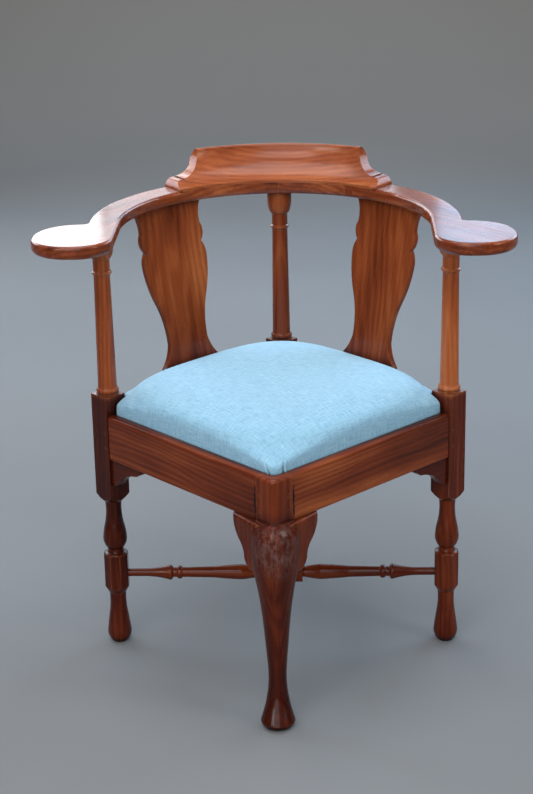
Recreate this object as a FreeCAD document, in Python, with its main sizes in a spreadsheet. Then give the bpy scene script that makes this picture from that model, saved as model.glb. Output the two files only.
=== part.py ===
import FreeCAD, Part
import math
import os

import Sketcher
from FreeCAD import Placement, Rotation, Vector

# A corner chair with a slip seat. Millimetres, +Z up, floor at z = 0, origin under the middle of the seat.
# The seat is a square set diagonally: a cabriole leg in front (-Y) and turned posts at the left (-X), at the
# right (+X) and at the rear (+Y).

# Driving sizes: name, millimetres, what it is
SIZES = [
    ("post_spacing", 284, "middle of the seat to the axis of each leg"),
    ("post_width", 40, "square part of the legs"),
    ("seat_height", 427, "top of the seat rails"),
    ("rail_height", 76, "seat rails, top to bottom"),
    ("rail_thickness", 34, "seat rails, outside to inside"),
    ("rail_setback", 1.5, "seat rails behind the faces of the posts"),
    ("rail_nosing", 7, "rounding of the top outer edge of the rails"),
    ("lip_width", 14, "edge of the rails left outside the slip seat"),
    ("rebate_depth", 14, "step in the rails that the slip seat drops into"),
    ("tenon_thickness", 10, "tenons of the seat rails"),
    ("tenon_clearance", 1.5, "wood between the two tenons in a leg"),
    ("tenon_shoulder", 10, "wood above and below the tenons"),
    ("mortise_gap", 0.2, "play round a tenon"),
    ("pin_diameter", 6, "draw-bore pins"),
    ("pin_length", 30, "draw-bore pins"),
    ("pin_play", 0.1, "play round a pin"),
    ("pin_setback", 8, "pin's axis from the shoulder of the joint"),
    ("pin_spread", 26, "between the two pins of a joint"),
    ("block_rise", 32, "square part of the posts above the seat rails"),
    ("block_drop", 72, "faces of the square part below the seat rails"),
    ("neck_radius", 13.8, "thin parts of the leg turning"),
    ("baluster_radius", 20.5, "swell between the two blocks"),
    ("baluster_height", 197, "swell above the floor"),
    ("low_block_top", 170, "top of the stretcher block"),
    ("low_block_bottom", 98, "lower end of the stretcher block"),
    ("low_block_width", 40, "stretcher block across its flats"),
    ("foot_radius", 20.5, "swell of the turned foot"),
    ("foot_swell_height", 21.5, "swell of the foot above the floor"),
    ("foot_base_radius", 12.5, "flat that the foot stands on"),
    ("column_base_radius", 18.5, "moulding at the foot of the column"),
    ("column_base_height", 14, "moulding at the foot of the column"),
    ("column_radius", 15.8, "column at its foot"),
    ("column_top_radius", 13.5, "column below its ring"),
    ("ring_drop", 27, "thin ring on the column below the capital"),
    ("ring_radius", 16.6, "thin ring on the column"),
    ("capital_height", 38, "capital below the arm"),
    ("capital_radius", 21.3, "capital where it meets the arm"),
    ("post_tenon_radius", 9, "round tenon into the arm"),
    ("post_tenon_length", 14, "round tenon into the arm"),
    ("arm_top", 755, "flat top of the arm rail"),
    ("arm_thickness", 22, "arm rail"),
    ("arm_inside", 34, "arm rail's inner edge inside the axes of the posts"),
    ("arm_outside", 17, "arm rail's outer edge outside the axes of the posts"),
    ("arm_top_rounding", 5, "upper edges of the arm rail"),
    ("arm_under_rounding", 9, "lower edges of the arm rail"),
    ("hand_rest_width", 79, "hand rest beyond the outer edge of the arm rail"),
    ("hand_rest_front", 160, "front of a hand rest from the middle"),
    ("hand_rest_nick", 9, "rounding of the nick where a hand rest leaves the arm"),
    ("hand_rest_back", 10, "nick behind the axis of the side posts"),
    ("hand_rest_shoulder", 70, "rounding of a hand rest behind its widest part"),
    ("hand_rest_flat", 10, "straight part of the front of a hand rest"),
    ("hand_rest_outer_round", 62, "front outer corner of a hand rest"),
    ("hand_rest_inner_round", 58, "front inner corner of a hand rest"),
    ("crest_height", 57, "crest above the arm rail"),
    ("crest_lean", 49, "front of the crest's top behind its foot"),
    ("crest_top_depth", 18, "crest's widest part, from the front of its top backwards"),
    ("crest_back_drop", 20, "crest's widest part below its top"),
    ("crest_top_cutback", 41.5, "top corner of the crest in from the middle of its end cut"),
    ("crest_bead_reach", 24, "foot of the crest beyond the middle of its end cut"),
    ("crest_bead_height", 13, "rounded bead at the foot of each end"),
    ("screw_radius", 2.5, "shank of the crest's screws"),
    ("screw_head_radius", 5, "head of the crest's screws"),
    ("screw_head_depth", 3, "head of the crest's screws"),
    ("screw_length", 40, "crest's screws"),
    ("screw_outside", 4, "crest's screws outside the axes of the posts"),
    ("screw_play", 0.2, "play round a screw"),
    ("plug_radius", 6.5, "wooden plug in the arm rail"),
    ("plug_length", 12, "wooden plug in the arm rail"),
    ("splat_thickness", 10, "splats"),
    ("splat_tongue_thickness", 7, "tongues at the head and foot of the splats"),
    ("splat_head_inside", 11, "splat's middle at the arm inside the axes of the posts"),
    ("splat_tongue", 7, "splat let into the rail and into the arm"),
    ("splat_top_width", 150, "splat under the arm"),
    ("splat_shoulder_width", 138, "widest part of the splat"),
    ("splat_notch_width", 123, "notch above the shoulder"),
    ("splat_waist_width", 82, "narrowest part of the splat"),
    ("splat_foot_width", 124, "splat on its rail"),
    ("splat_tongue_margin", 10, "shoulder at each side of the tongues"),
    ("knee_half_width", 38, "knee of the front leg, middle to side"),
    ("knee_reach", 43, "knee in front of the leg's axis"),
    ("knee_rise", 3, "crown of the knee above the bottom of the rails"),
    ("ankle_radius", 14.5, "thinnest part of the front leg"),
    ("ankle_height", 80, "thinnest part of the front leg"),
    ("pad_radius", 27.7, "pad foot"),
    ("pad_ridge_height", 11, "ridge of the pad foot"),
    ("pad_forward", 12.5, "pad foot in front of the leg's axis"),
    ("shin_radius", 17.3, "front leg at the stretcher"),
    ("arris_radius", 13, "rounded outer corner of the front leg's top"),
    ("ear_reach", 52, "knee bracket along the rail"),
    ("ear_drop", 85, "knee bracket below the rail"),
    ("ear_thickness", 27, "knee bracket"),
    ("ear_rounding", 6, "front edges of the knee brackets"),
    ("ear_proud", 13, "front of a knee bracket before the rail, inside the knee"),
    ("ear_tip_proud", 5, "front of a knee bracket before the rail, at its tip"),
    ("bracket_reach", 77, "bracket under a front rail at the side posts"),
    ("bracket_drop", 50, "bracket below the rail"),
    ("bracket_thickness", 20, "bracket"),
    ("bracket_setback", 2.5, "bracket behind the rail's face"),
    ("stretcher_height", 128.7, "axis of the stretchers"),
    ("stretcher_block", 26, "square part where the stretchers cross"),
    ("stretcher_block_length", 74, "square part where the stretchers cross"),
    ("stretcher_swell_radius", 13.2, "swell beside the square part"),
    ("stretcher_swell_place", 68, "swell from the crossing"),
    ("stretcher_shaft_radius", 8.4, "thin part of the stretchers"),
    ("stretcher_ring_radius", 11.3, "small ring of the stretchers"),
    ("stretcher_ring_place", 175, "small ring from the crossing"),
    ("stretcher_cup_radius", 13.2, "large ring of the stretchers"),
    ("stretcher_cup_place", 190, "large ring from the crossing"),
    ("stretcher_end_radius", 6.7, "stretchers at the legs"),
    ("stretcher_tenon", 12, "stretchers let into the legs"),
    ("slip_play", 2.2, "slip frame inside the lip"),
    ("slip_lift_gap", 0.3, "slip seat above the step that it rests on"),
    ("slip_rail_width", 50, "slip frame's rails"),
    ("slip_rail_thickness", 18, "slip frame's rails"),
    ("slip_tenon", 22, "tenons of the slip frame"),
    ("slip_tenon_thickness", 6, "tenons of the slip frame"),
    ("slip_tenon_width", 24, "tenons of the slip frame"),
    ("slip_tenon_margin", 7, "inner edge of the slip frame's rails to their tenons"),
    ("slip_notch_play", 2.2, "slip frame clear of the posts"),
    ("slip_corner", 14, "front corner of the slip frame"),
    ("slip_notch_corner", 4, "corners beside the notches of the slip frame and its cover"),
    ("peg_radius", 3, "pegs of the slip frame"),
    ("webbing_width", 50, "webbing strip"),
    ("webbing_thickness", 1, "webbing strip"),
    ("webbing_pitch", 85, "webbing strips, middle to middle"),
    ("webbing_margin", 10, "outer edge of the slip frame to the webbing"),
    ("canvas_thickness", 0.8, "cloth over the webbing"),
    ("cover_thickness", 1.2, "blue cloth"),
    ("cover_gap", 0.2, "cloth off the frame and the stuffing"),
    ("cover_turn_under", 30, "blue cloth under the frame"),
    ("seat_crown", 62, "crown of the slip seat above the seat rails"),
    ("bottom_cloth_thickness", 0.8, "dust cloth"),
]

# Angles from the rear post: the crest's end cuts, the arc that it is cut from, the stretch of the arm
# under it whose edges stay square, its screws and the arm's plug
CREST_END_ANGLE = 36
CREST_SWEEP_ANGLE = 44
ARM_SQUARE_ANGLE = 40.3
CREST_SCREW_ANGLES = (-24, -12, 12, 24)
PLUG_ANGLE = 29

# Angle of each seat rail's outward face and of each leg, in degrees from +X towards +Y
RAIL_ANGLES = {"front_left": 225, "front_right": -45, "rear_right": 45, "rear_left": 135}
POST_ANGLES = {"right": 0, "rear": 90, "left": 180}
FRONT_LEG_ANGLE = -90
SLIP_TURN = 45

HALF_ROOT = math.sqrt(0.5)
ROOT = math.sqrt(2)
MIN_SLICE = 0.05
SECTION_POINTS = 16
NOTCH_INNER_ROUNDING = 2

# Crown of the upholstery: where its sections lie, as shares of the crown below its top, and how steeply its
# sides rise, how flat its top is and how fast its corners, its notches and its sides turn round
CROWN_DROPS = (0.95, 0.73, 0.6, 0.48, 0.37, 0.28, 0.2, 0.135, 0.08, 0.035, 0.01)
CROWN_STEEPNESS = 0.22
CROWN_FLATNESS = 2.4
CROWN_TOP_REACH = 0.12
CROWN_TOP_CORNER = 0.82
CROWN_CORNER_POWER = 4.2
CROWN_ROUND_FROM = 0.9
CROWN_ROUND_POWER = 4.5
CROWN_NOTCH_FADE = 0.12


class Size:
    """A length together with the spreadsheet formula that gives it."""

    def __init__(self, number, formula):
        self.number = float(number)
        self.formula = formula

    def __float__(self):
        return self.number

    def __add__(self, other):
        other = as_size(other)
        return Size(self.number + other.number, f"({self.formula} + {other.formula})")

    def __sub__(self, other):
        other = as_size(other)
        return Size(self.number - other.number, f"({self.formula} - {other.formula})")

    def __mul__(self, factor):
        factor = as_size(factor)
        return Size(self.number * factor.number, f"({self.formula} * {factor.formula})")

    def __truediv__(self, divisor):
        divisor = as_size(divisor)
        return Size(self.number / divisor.number, f"({self.formula} / {divisor.formula})")

    def __neg__(self):
        return self * -1

    __radd__ = __add__
    __rmul__ = __mul__

    def __rsub__(self, other):
        return as_size(other) - self


def as_size(value):
    """Give a plain number its own formula."""
    if isinstance(value, Size):
        return value
    return Size(value, f"({float(value)!r})")


class Sheet:
    """The spreadsheet of driving sizes, read by name."""

    def __init__(self, document):
        self.table = document.addObject("Spreadsheet::Sheet", "sizes")
        for row, (name, number, meaning) in enumerate(SIZES, start=1):
            self.table.set(f"A{row}", meaning)
            self.table.set(f"B{row}", str(number))
            self.table.setAlias(f"B{row}", name)
        document.recompute()

    def __getattr__(self, name):
        return Size(getattr(self.table, name), f"sizes.{name}")


class Via:
    """A point that the arc between its two neighbours passes through."""

    def __init__(self, across, along):
        self.across = across
        self.along = along


document = FreeCAD.newDocument("corner_chair")
S = Sheet(document)

# Places that several pieces share, all worked out from the sheet
SIDE_REACH = S.post_spacing * HALF_ROOT
RAIL_OUTSIDE = SIDE_REACH + S.post_width / 2 - S.rail_setback
RAIL_INSIDE = RAIL_OUTSIDE - S.rail_thickness
RAIL_MIDDLE = RAIL_OUTSIDE - S.rail_thickness / 2
RAIL_LENGTH = SIDE_REACH * 2 - S.post_width
RAIL_BOTTOM = S.seat_height - S.rail_height
REBATE_TOP = S.seat_height - S.rebate_depth
LIP_INSIDE = RAIL_OUTSIDE - S.lip_width
TENON_BOTTOM = RAIL_BOTTOM + S.tenon_shoulder
TENON_TOP = REBATE_TOP - S.tenon_shoulder
TENON_LENGTH = S.post_width / 2 - S.tenon_thickness / 2 + (RAIL_MIDDLE - SIDE_REACH) - S.tenon_clearance
BLOCK_TOP = S.seat_height + S.block_rise
BLOCK_BOTTOM = RAIL_BOTTOM - S.block_drop
ARM_UNDER = S.arm_top - S.arm_thickness
ARM_INNER = S.post_spacing - S.arm_inside
ARM_OUTER = S.post_spacing + S.arm_outside
SCREW_PLACE = S.post_spacing + S.screw_outside
CAPITAL_FOOT = ARM_UNDER - S.capital_height
RING_HEIGHT = CAPITAL_FOOT - S.ring_drop
CREST_TOP = S.arm_top + S.crest_height
SPLAT_FOOT = (LIP_INSIDE + RAIL_OUTSIDE) / 2
SPLAT_HEAD = S.post_spacing - S.splat_head_inside
SPLAT_HEIGHT = ARM_UNDER - S.seat_height
SLIP_REACH = LIP_INSIDE - S.slip_play
SLIP_NOTCH = SIDE_REACH - S.post_width / 2 - S.slip_notch_play
SLIP_LOW = REBATE_TOP + S.slip_lift_gap + S.cover_thickness
SLIP_TOP = SLIP_LOW + S.slip_rail_thickness
SLIP_MIDDLE = (SLIP_LOW + SLIP_TOP) / 2
CANVAS_LOW = SLIP_TOP + S.webbing_thickness * 2


def vector(across, along, up):
    """A point from sizes or numbers."""
    return Vector(float(across), float(along), float(up))


def turned(angle, origin=Vector(0, 0, 0)):
    """A placement turned about the vertical axis."""
    return Placement(origin, Rotation(Vector(0, 0, 1), angle))


def new_body(name, angle=0):
    """An empty body whose label names its file."""
    body = document.addObject("PartDesign::Body", name)
    body.Label = name
    body.Placement = turned(angle)
    return body


def origin_plane(body, role):
    """One of the body's own three planes."""
    return next(feature for feature in body.Origin.OriginFeatures if feature.Role == role)


def new_sketch(body, role, loops, offset=None, turn=0):
    """Closed loops on an origin plane, every point tied to the sheet."""
    sketch = body.newObject("Sketcher::SketchObject", body.Name + "_sketch")
    sketch.AttachmentSupport = [(origin_plane(body, role), "")]
    sketch.MapMode = "FlatFace"
    offset = as_size(offset or 0)
    sketch.AttachmentOffset = Placement(vector(0, 0, offset), Rotation(Vector(0, 1, 0), turn))
    if "sizes" in offset.formula:
        sketch.setExpression("AttachmentOffset.Base.z", offset.formula)
    for loop in loops:
        draw_loop(sketch, loop)
    return sketch


def draw_loop(sketch, loop):
    """Join points by lines, or by an arc where a Via stands between two points."""
    corners = [step for step in loop if not isinstance(step, Via)]
    edges = []
    for index, start in enumerate(corners):
        finish = corners[(index + 1) % len(corners)]
        follower = loop[(loop.index(start) + 1) % len(loop)]
        via = follower if isinstance(follower, Via) else None
        edges.append(draw_edge(sketch, start, finish, via))
    constraints = []
    for index, (edge, _, last) in enumerate(edges):
        next_edge, next_first, _ = edges[(index + 1) % len(edges)]
        constraints.append(Sketcher.Constraint("Coincident", edge, last, next_edge, next_first))
    sketch.addConstraint(constraints)
    for (edge, first, _), corner in zip(edges, corners):
        tie_point(sketch, edge, first, corner[0], corner[1])


def draw_edge(sketch, start, finish, via):
    """Add one line or arc and say which of its ends is the first."""
    head = vector(start[0], start[1], 0)
    tail = vector(finish[0], finish[1], 0)
    if via is None:
        return sketch.addGeometry(Part.LineSegment(head, tail), False), 1, 2
    middle = vector(via.across, via.along, 0)
    edge = sketch.addGeometry(Part.Arc(head, middle, tail), False)
    to_head = [sketch.getPoint(edge, end).distanceToPoint(head) for end in (1, 2)]
    first = 1 if to_head[0] < to_head[1] else 2
    point = sketch.addGeometry(Part.Point(middle), True)
    tie_point(sketch, point, 1, via.across, via.along)
    sketch.addConstraint(Sketcher.Constraint("PointOnObject", point, 1, edge))
    return edge, first, 3 - first


def tie_point(sketch, edge, end, across, along):
    """Fix a point by its two distances from the sketch's origin."""
    for kind, size in (("DistanceX", as_size(across)), ("DistanceY", as_size(along))):
        index = sketch.addConstraint(Sketcher.Constraint(kind, -1, 1, edge, end, size.number))
        if "sizes" in size.formula:
            sketch.setExpression(f"Constraints[{index}]", size.formula)


def pad(body, sketch, length, both_ways=False, backwards=False):
    """Add the sketch's area, drawn out by a length."""
    return draw_out(body, "PartDesign::Pad", sketch, length, both_ways, backwards)


def pocket(body, sketch, length, both_ways=False, backwards=False):
    """Cut the sketch's area out of the body and check that it cuts."""
    before = body.Shape.Volume
    feature = draw_out(body, "PartDesign::Pocket", sketch, length, both_ways, backwards)
    if body.Shape.Volume > before - MIN_SLICE:
        raise RuntimeError(f"a pocket of {body.Label} cuts nothing")
    return feature


def draw_out(body, kind, sketch, length, both_ways, backwards):
    """The part that pads and pockets have in common."""
    feature = body.newObject(kind, body.Name + "_step")
    feature.Profile = sketch
    length = as_size(length)
    feature.Length = length.number
    if "sizes" in length.formula:
        feature.setExpression("Length", length.formula)
    feature.SideType = "Symmetric" if both_ways else "One side"
    feature.Reversed = backwards
    document.recompute()
    return feature


def revolve(body, sketch, axis="V_Axis", angle=360, cut=False):
    """Turn the sketch about one of its axes."""
    before = body.Shape.Volume if cut else 0
    kind = "PartDesign::Groove" if cut else "PartDesign::Revolution"
    feature = body.newObject(kind, body.Name + "_turning")
    feature.Profile = sketch
    feature.ReferenceAxis = (sketch, [axis])
    feature.Angle = angle
    document.recompute()
    if cut and body.Shape.Volume > before - MIN_SLICE:
        raise RuntimeError(f"a groove of {body.Label} cuts nothing")
    return feature


def soften(body, kind, radius, wanted):
    """Fillet or chamfer the edges that the wanted function picks."""
    base = body.Tip
    names = [f"Edge{index}" for index, edge in enumerate(base.Shape.Edges, start=1) if wanted(edge)]
    feature = body.newObject("PartDesign::" + kind, body.Name + "_edges")
    feature.Base = (base, names)
    amount = "Radius" if kind == "Fillet" else "Size"
    setattr(feature, amount, radius.number)
    feature.setExpression(amount, radius.formula)
    document.recompute()
    return feature


def rectangle(left, low, right, high):
    """Corner points of an upright rectangle."""
    return [(left, low), (right, low), (right, high), (left, high)]


def bend(corner, across, along):
    """The middle of the quarter circle that rounds a corner, given the ways from it to the two ends."""
    share = 1 - HALF_ROOT
    return Via(corner[0] + across * share, corner[1] + along * share)


def mirror_loop(loop):
    """The same loop on the other side of the sketch's vertical axis."""
    return [Via(-as_size(step.across), step.along) if isinstance(step, Via) else (-as_size(step[0]), step[1])
            for step in loop]


def level_cylinder(radius, length, foot):
    """A cylinder from its foot towards +X."""
    return Part.makeCylinder(float(radius), float(length), foot, Vector(1, 0, 0))


def shape_part(name, shape, placement=Placement()):
    """A sub-part whose shape is made by this file's own code."""
    feature = document.addObject("Part::Feature", name)
    feature.Label = name
    feature.Shape = shape
    feature.Placement = placement
    return feature


# Seat rails
def seat_rail(name, angle, carries_splat):
    """A rebated rail with a rounded lip, or a square one under a splat, tenoned at both ends."""
    body = new_body(name, angle)
    nosing = S.rail_nosing
    lip = [(RAIL_OUTSIDE, S.seat_height)]
    if not carries_splat:
        lip = [
            (RAIL_OUTSIDE, S.seat_height - nosing),
            bend((RAIL_OUTSIDE, S.seat_height), -nosing, -nosing),
            (RAIL_OUTSIDE - nosing, S.seat_height),
        ]
    section = [
        (RAIL_INSIDE, RAIL_BOTTOM),
        (RAIL_OUTSIDE, RAIL_BOTTOM),
        *lip,
        (LIP_INSIDE, S.seat_height),
        (LIP_INSIDE, REBATE_TOP),
        (RAIL_INSIDE, REBATE_TOP),
    ]
    pad(body, new_sketch(body, "XZ_Plane", [section]), RAIL_LENGTH, both_ways=True)
    half = S.tenon_thickness / 2
    tenon = rectangle(RAIL_MIDDLE - half, TENON_BOTTOM, RAIL_MIDDLE + half, TENON_TOP)
    pad(body, new_sketch(body, "XZ_Plane", [tenon]), RAIL_LENGTH + TENON_LENGTH * 2, both_ways=True)
    for end in (-1, 1):
        drill_pin_holes(body, (RAIL_LENGTH / 2 + S.pin_setback) * end)
    if carries_splat:
        cut_splat_mortise(body)
    return body


def pin_heights():
    """Heights of the two pins of a rail's joint."""
    middle = (TENON_BOTTOM + TENON_TOP) / 2
    return [middle - S.pin_spread / 2, middle + S.pin_spread / 2]


def circle_loop(across, along, radius):
    """A circle as two half arcs."""
    return [
        (across - radius, along),
        Via(across, along - radius),
        (across + radius, along),
        Via(across, along + radius),
    ]


def drill_pin_holes(body, place):
    """Two holes across a rail's tenon."""
    radius = S.pin_diameter / 2 + S.pin_play
    loops = [circle_loop(place, height, radius) for height in pin_heights()]
    sketch = new_sketch(body, "YZ_Plane", loops, RAIL_OUTSIDE + S.rail_setback)
    pocket(body, sketch, S.pin_length)


# Turned posts
def leg_post(name, angle):
    """Foot, stretcher block, baluster, square block and column in one piece."""
    body = new_body(name)
    body.Placement = turned(angle) * Placement(vector(S.post_spacing, 0, 0), Rotation())
    body.setExpression("Placement.Base.x", (S.post_spacing * round(math.cos(math.radians(angle)))).formula)
    body.setExpression("Placement.Base.y", (S.post_spacing * round(math.sin(math.radians(angle)))).formula)
    revolve(body, new_sketch(body, "XZ_Plane", [turned_leg()]))
    add_blocks(body)
    trim_blocks(body)
    revolve(body, new_sketch(body, "XZ_Plane", [turned_column()]))
    cut_rail_mortises(body, (1, -1))
    drill_stretcher_hole(body)
    return body


def turned_leg():
    """Half outline of the leg from the floor to inside the square block."""
    neck = S.neck_radius
    foot_neck = S.low_block_bottom - 28
    swell = S.baluster_height
    shoulder = BLOCK_BOTTOM - 14
    return [
        (0, 0),
        (S.foot_base_radius, 0),
        Via(S.foot_radius - 2, S.foot_swell_height / 2 - 2.5),
        (S.foot_radius, S.foot_swell_height),
        Via(S.foot_radius - 2.6, S.foot_swell_height + 20),
        (neck + 1.2, foot_neck - 9),
        Via(neck + 0.1, foot_neck + 6),
        (neck + 0.6, S.low_block_bottom - 4),
        (neck + 0.6, S.low_block_top),
        (neck - 0.6, S.low_block_top + 4),
        (neck - 0.6, S.low_block_top + 7),
        Via(S.baluster_radius - 2.2, swell - 12),
        (S.baluster_radius, swell),
        Via(S.baluster_radius - 1.3, swell + (shoulder - swell) * 0.18),
        (neck + 2.2, swell + (shoulder - swell) * 0.4),
        Via(neck + 0.2, swell + (shoulder - swell) * 0.59),
        (neck + 0.4, shoulder),
        (neck + 0.4, BLOCK_BOTTOM + 20),
        (0, BLOCK_BOTTOM + 20),
    ]


def turned_column():
    """Half outline of the column from inside the block to the tenon in the arm."""
    base = S.column_base_radius
    foot = BLOCK_TOP + S.column_base_height
    capital = CAPITAL_FOOT
    return [
        (0, BLOCK_TOP - 5),
        (base + 0.5, BLOCK_TOP - 5),
        (base + 0.5, BLOCK_TOP + 3),
        (base - 1, BLOCK_TOP + 3),
        Via(base + 0.3, BLOCK_TOP + 7),
        (base - 1, BLOCK_TOP + 11),
        (S.column_radius + 0.8, BLOCK_TOP + 11),
        (S.column_radius, foot),
        (S.column_top_radius, RING_HEIGHT - 7),
        Via(S.column_top_radius + 0.8, RING_HEIGHT - 3),
        (S.ring_radius, RING_HEIGHT),
        (S.ring_radius, RING_HEIGHT + 1.6),
        (S.column_top_radius + 0.3, RING_HEIGHT + 4),
        (S.column_top_radius + 0.3, capital - 4),
        (S.capital_radius - 4, capital),
        (S.capital_radius - 3.4, capital + 2.5),
        (S.capital_radius - 2.6, capital + 3),
        Via(S.capital_radius - 0.7, capital + 12),
        (S.capital_radius, capital + 26),
        (S.capital_radius, ARM_UNDER),
        (S.post_tenon_radius, ARM_UNDER),
        (S.post_tenon_radius, ARM_UNDER + S.post_tenon_length),
        (0, ARM_UNDER + S.post_tenon_length),
    ]


def diamond(reach):
    """A square standing on its corner."""
    return [(reach, 0), (0, reach), (-reach, 0), (0, -reach)]


def octagon(across_flats):
    """A regular octagon with a flat towards each axis."""
    half = across_flats / 2
    short = half * (ROOT - 1)
    return [(half, -short), (half, short), (short, half), (-short, half),
            (-half, short), (-half, -short), (-short, -half), (short, -half)]


def add_blocks(body):
    """The square block at the seat and the eight-sided block at the stretcher."""
    reach = S.post_width * HALF_ROOT
    low = BLOCK_BOTTOM - 14
    pad(body, new_sketch(body, "XY_Plane", [diamond(reach)], low), BLOCK_TOP - low)
    low = S.low_block_bottom - 4
    pad(body, new_sketch(body, "XY_Plane", [octagon(S.low_block_width)], low), S.low_block_top - low)


def trim_blocks(body):
    """Turned shoulders at the lower end of both blocks and the top of the stretcher block."""
    corner = S.post_width * HALF_ROOT + 1
    neck = S.neck_radius + 0.4
    low = BLOCK_BOTTOM - 14
    cone = [(neck, low - 0.5), (corner, low - 0.5), (corner, BLOCK_BOTTOM + 0.9)]
    revolve(body, new_sketch(body, "XZ_Plane", [cone]), cut=True)
    corner = S.low_block_width * 0.5 * 1.1
    neck = S.neck_radius + 0.6
    low = S.low_block_bottom - 4
    cone = [(neck, low - 0.5), (corner, low - 0.5), (corner, S.low_block_bottom + 9)]
    revolve(body, new_sketch(body, "XZ_Plane", [cone]), cut=True)
    top = S.low_block_top
    shoulder = [
        (neck + 0.6, top + 0.5),
        Via(corner - 1.6, top - 2.6),
        (corner, top - 10),
        (corner, top + 0.5),
    ]
    revolve(body, new_sketch(body, "XZ_Plane", [shoulder]), cut=True)


def cut_rail_mortises(body, sides):
    """Mortises for two seat rails, with their pin holes, in a post on its own axes."""
    gap = S.mortise_gap
    half = S.tenon_thickness / 2 + gap
    across = RAIL_MIDDLE - SIDE_REACH
    face = S.post_width / 2
    for side in sides:
        # Along u runs the rail's outward direction, along v the way from the leg towards the rail
        low = face - TENON_LENGTH - gap
        loop = [turn_point(u, v, side) for u, v in rectangle(across - half, low, across + half, face + 1)]
        sketch = new_sketch(body, "XY_Plane", [loop], TENON_BOTTOM - gap)
        pocket(body, sketch, TENON_TOP - TENON_BOTTOM + gap * 2, backwards=True)
        place = (face - S.pin_setback) * side
        holes = [circle_loop(place, height, S.pin_diameter / 2 + S.pin_play) for height in pin_heights()]
        sketch = new_sketch(body, "YZ_Plane", holes, turn=45 * side)
        pocket(body, sketch, face + 1, backwards=True)
        sketch = new_sketch(body, "YZ_Plane", holes, turn=45 * side)
        pocket(body, sketch, S.pin_length - face)


def turn_point(u, v, side):
    """A point given outward of a rail and along it, on the axes of the leg at its end."""
    return ((u - v) * HALF_ROOT, (u + v) * HALF_ROOT * side)


def drill_stretcher_hole(body):
    """The round hole for the stretcher, from the side that faces the middle."""
    radius = S.stretcher_end_radius + S.pin_play
    circle = circle_loop(0, S.stretcher_height, radius)
    sketch = new_sketch(body, "YZ_Plane", [circle], -S.low_block_width / 2)
    pocket(body, sketch, S.stretcher_tenon + S.mortise_gap, backwards=True)


# Stretchers
def stretcher(name, angle, lap_above, front_tenon=None):
    """A turned stretcher with a square middle, half-lapped over its fellow."""
    body = new_body(name, angle)
    reach = S.post_spacing - S.low_block_width / 2
    ends = [(reach, 1), (reach, -1)]
    if front_tenon is not None:
        ends[1] = (front_tenon, -1)
    half_block = S.stretcher_block_length / 2
    for shoulder, sign in ends:
        loop = half_stretcher(shoulder, sign, half_block)
        sketch = new_sketch(body, "XZ_Plane", [loop])
        turn_about_level_axis(body, sketch)
    half = S.stretcher_block / 2
    square = rectangle(-half, S.stretcher_height - half, half, S.stretcher_height + half)
    pad(body, new_sketch(body, "YZ_Plane", [square]), S.stretcher_block_length, both_ways=True)
    low = S.stretcher_height if lap_above else S.stretcher_height - half
    notch = rectangle(-half, low, half, low + half)
    pocket(body, new_sketch(body, "XZ_Plane", [notch]), S.stretcher_block + 2, both_ways=True)
    return body


def half_stretcher(shoulder, sign, half_block):
    """Half outline of one arm of a stretcher, from its square middle to its tenon."""
    axis = S.stretcher_height
    shaft = S.stretcher_shaft_radius
    swell = S.stretcher_swell_place
    ring = S.stretcher_ring_place
    cup = S.stretcher_cup_place
    outline = [
        (half_block - 4, 0),
        (half_block - 4, shaft + 0.6),
        (half_block + 3, shaft + 0.6),
        Via(swell - 14, S.stretcher_swell_radius - 1.6),
        (swell, S.stretcher_swell_radius),
        Via(swell + 22, S.stretcher_swell_radius - 1.2),
        (swell + 48, shaft + 1.3),
        (ring - 5, shaft),
        Via(ring - 3.5, S.stretcher_ring_radius - 0.8),
        (ring, S.stretcher_ring_radius),
        Via(ring + 3.5, S.stretcher_ring_radius - 0.8),
        (ring + 5, shaft),
        (cup - 4, shaft),
        (cup - 1.5, S.stretcher_cup_radius - 0.6),
        (cup, S.stretcher_cup_radius),
        (cup + 2, S.stretcher_cup_radius),
        Via(cup + 22, S.stretcher_end_radius + 1.9),
        (cup + 48, S.stretcher_end_radius),
        (shoulder + S.stretcher_tenon, S.stretcher_end_radius),
        (shoulder + S.stretcher_tenon, 0),
    ]
    return [Via(as_size(step.across) * sign, axis + step.along) if isinstance(step, Via)
            else (as_size(step[0]) * sign, axis + step[1]) for step in outline]


def turn_about_level_axis(body, sketch):
    """Revolve a sketch about a level line at the stretchers' height."""
    sketch.addGeometry(Part.LineSegment(Vector(-1, S.stretcher_height.number, 0),
                                        Vector(1, S.stretcher_height.number, 0)), True)
    line = sketch.GeometryCount - 1
    tie_point(sketch, line, 1, -1, S.stretcher_height)
    tie_point(sketch, line, 2, 1, S.stretcher_height)
    feature = body.newObject("PartDesign::Revolution", body.Name + "_turning")
    feature.Profile = sketch
    feature.ReferenceAxis = (sketch, ["Axis0"])
    feature.Angle = 360
    document.recompute()


# Arm rail
def arm(name, side):
    """Half of the round arm rail with its hand rest."""
    body = new_body(name)
    add_hand_rest(body, side)
    # Under the crest the upper edges stay square; beyond it all edges are rounded
    revolve_arm(body, side, arm_section(True), ARM_SQUARE_ANGLE, 90)
    revolve_arm(body, side, arm_section(False), 0, ARM_SQUARE_ANGLE)
    cut_arm_mortises(body, side)
    if side > 0:
        cut_plug_hole(body)
    return body


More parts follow.
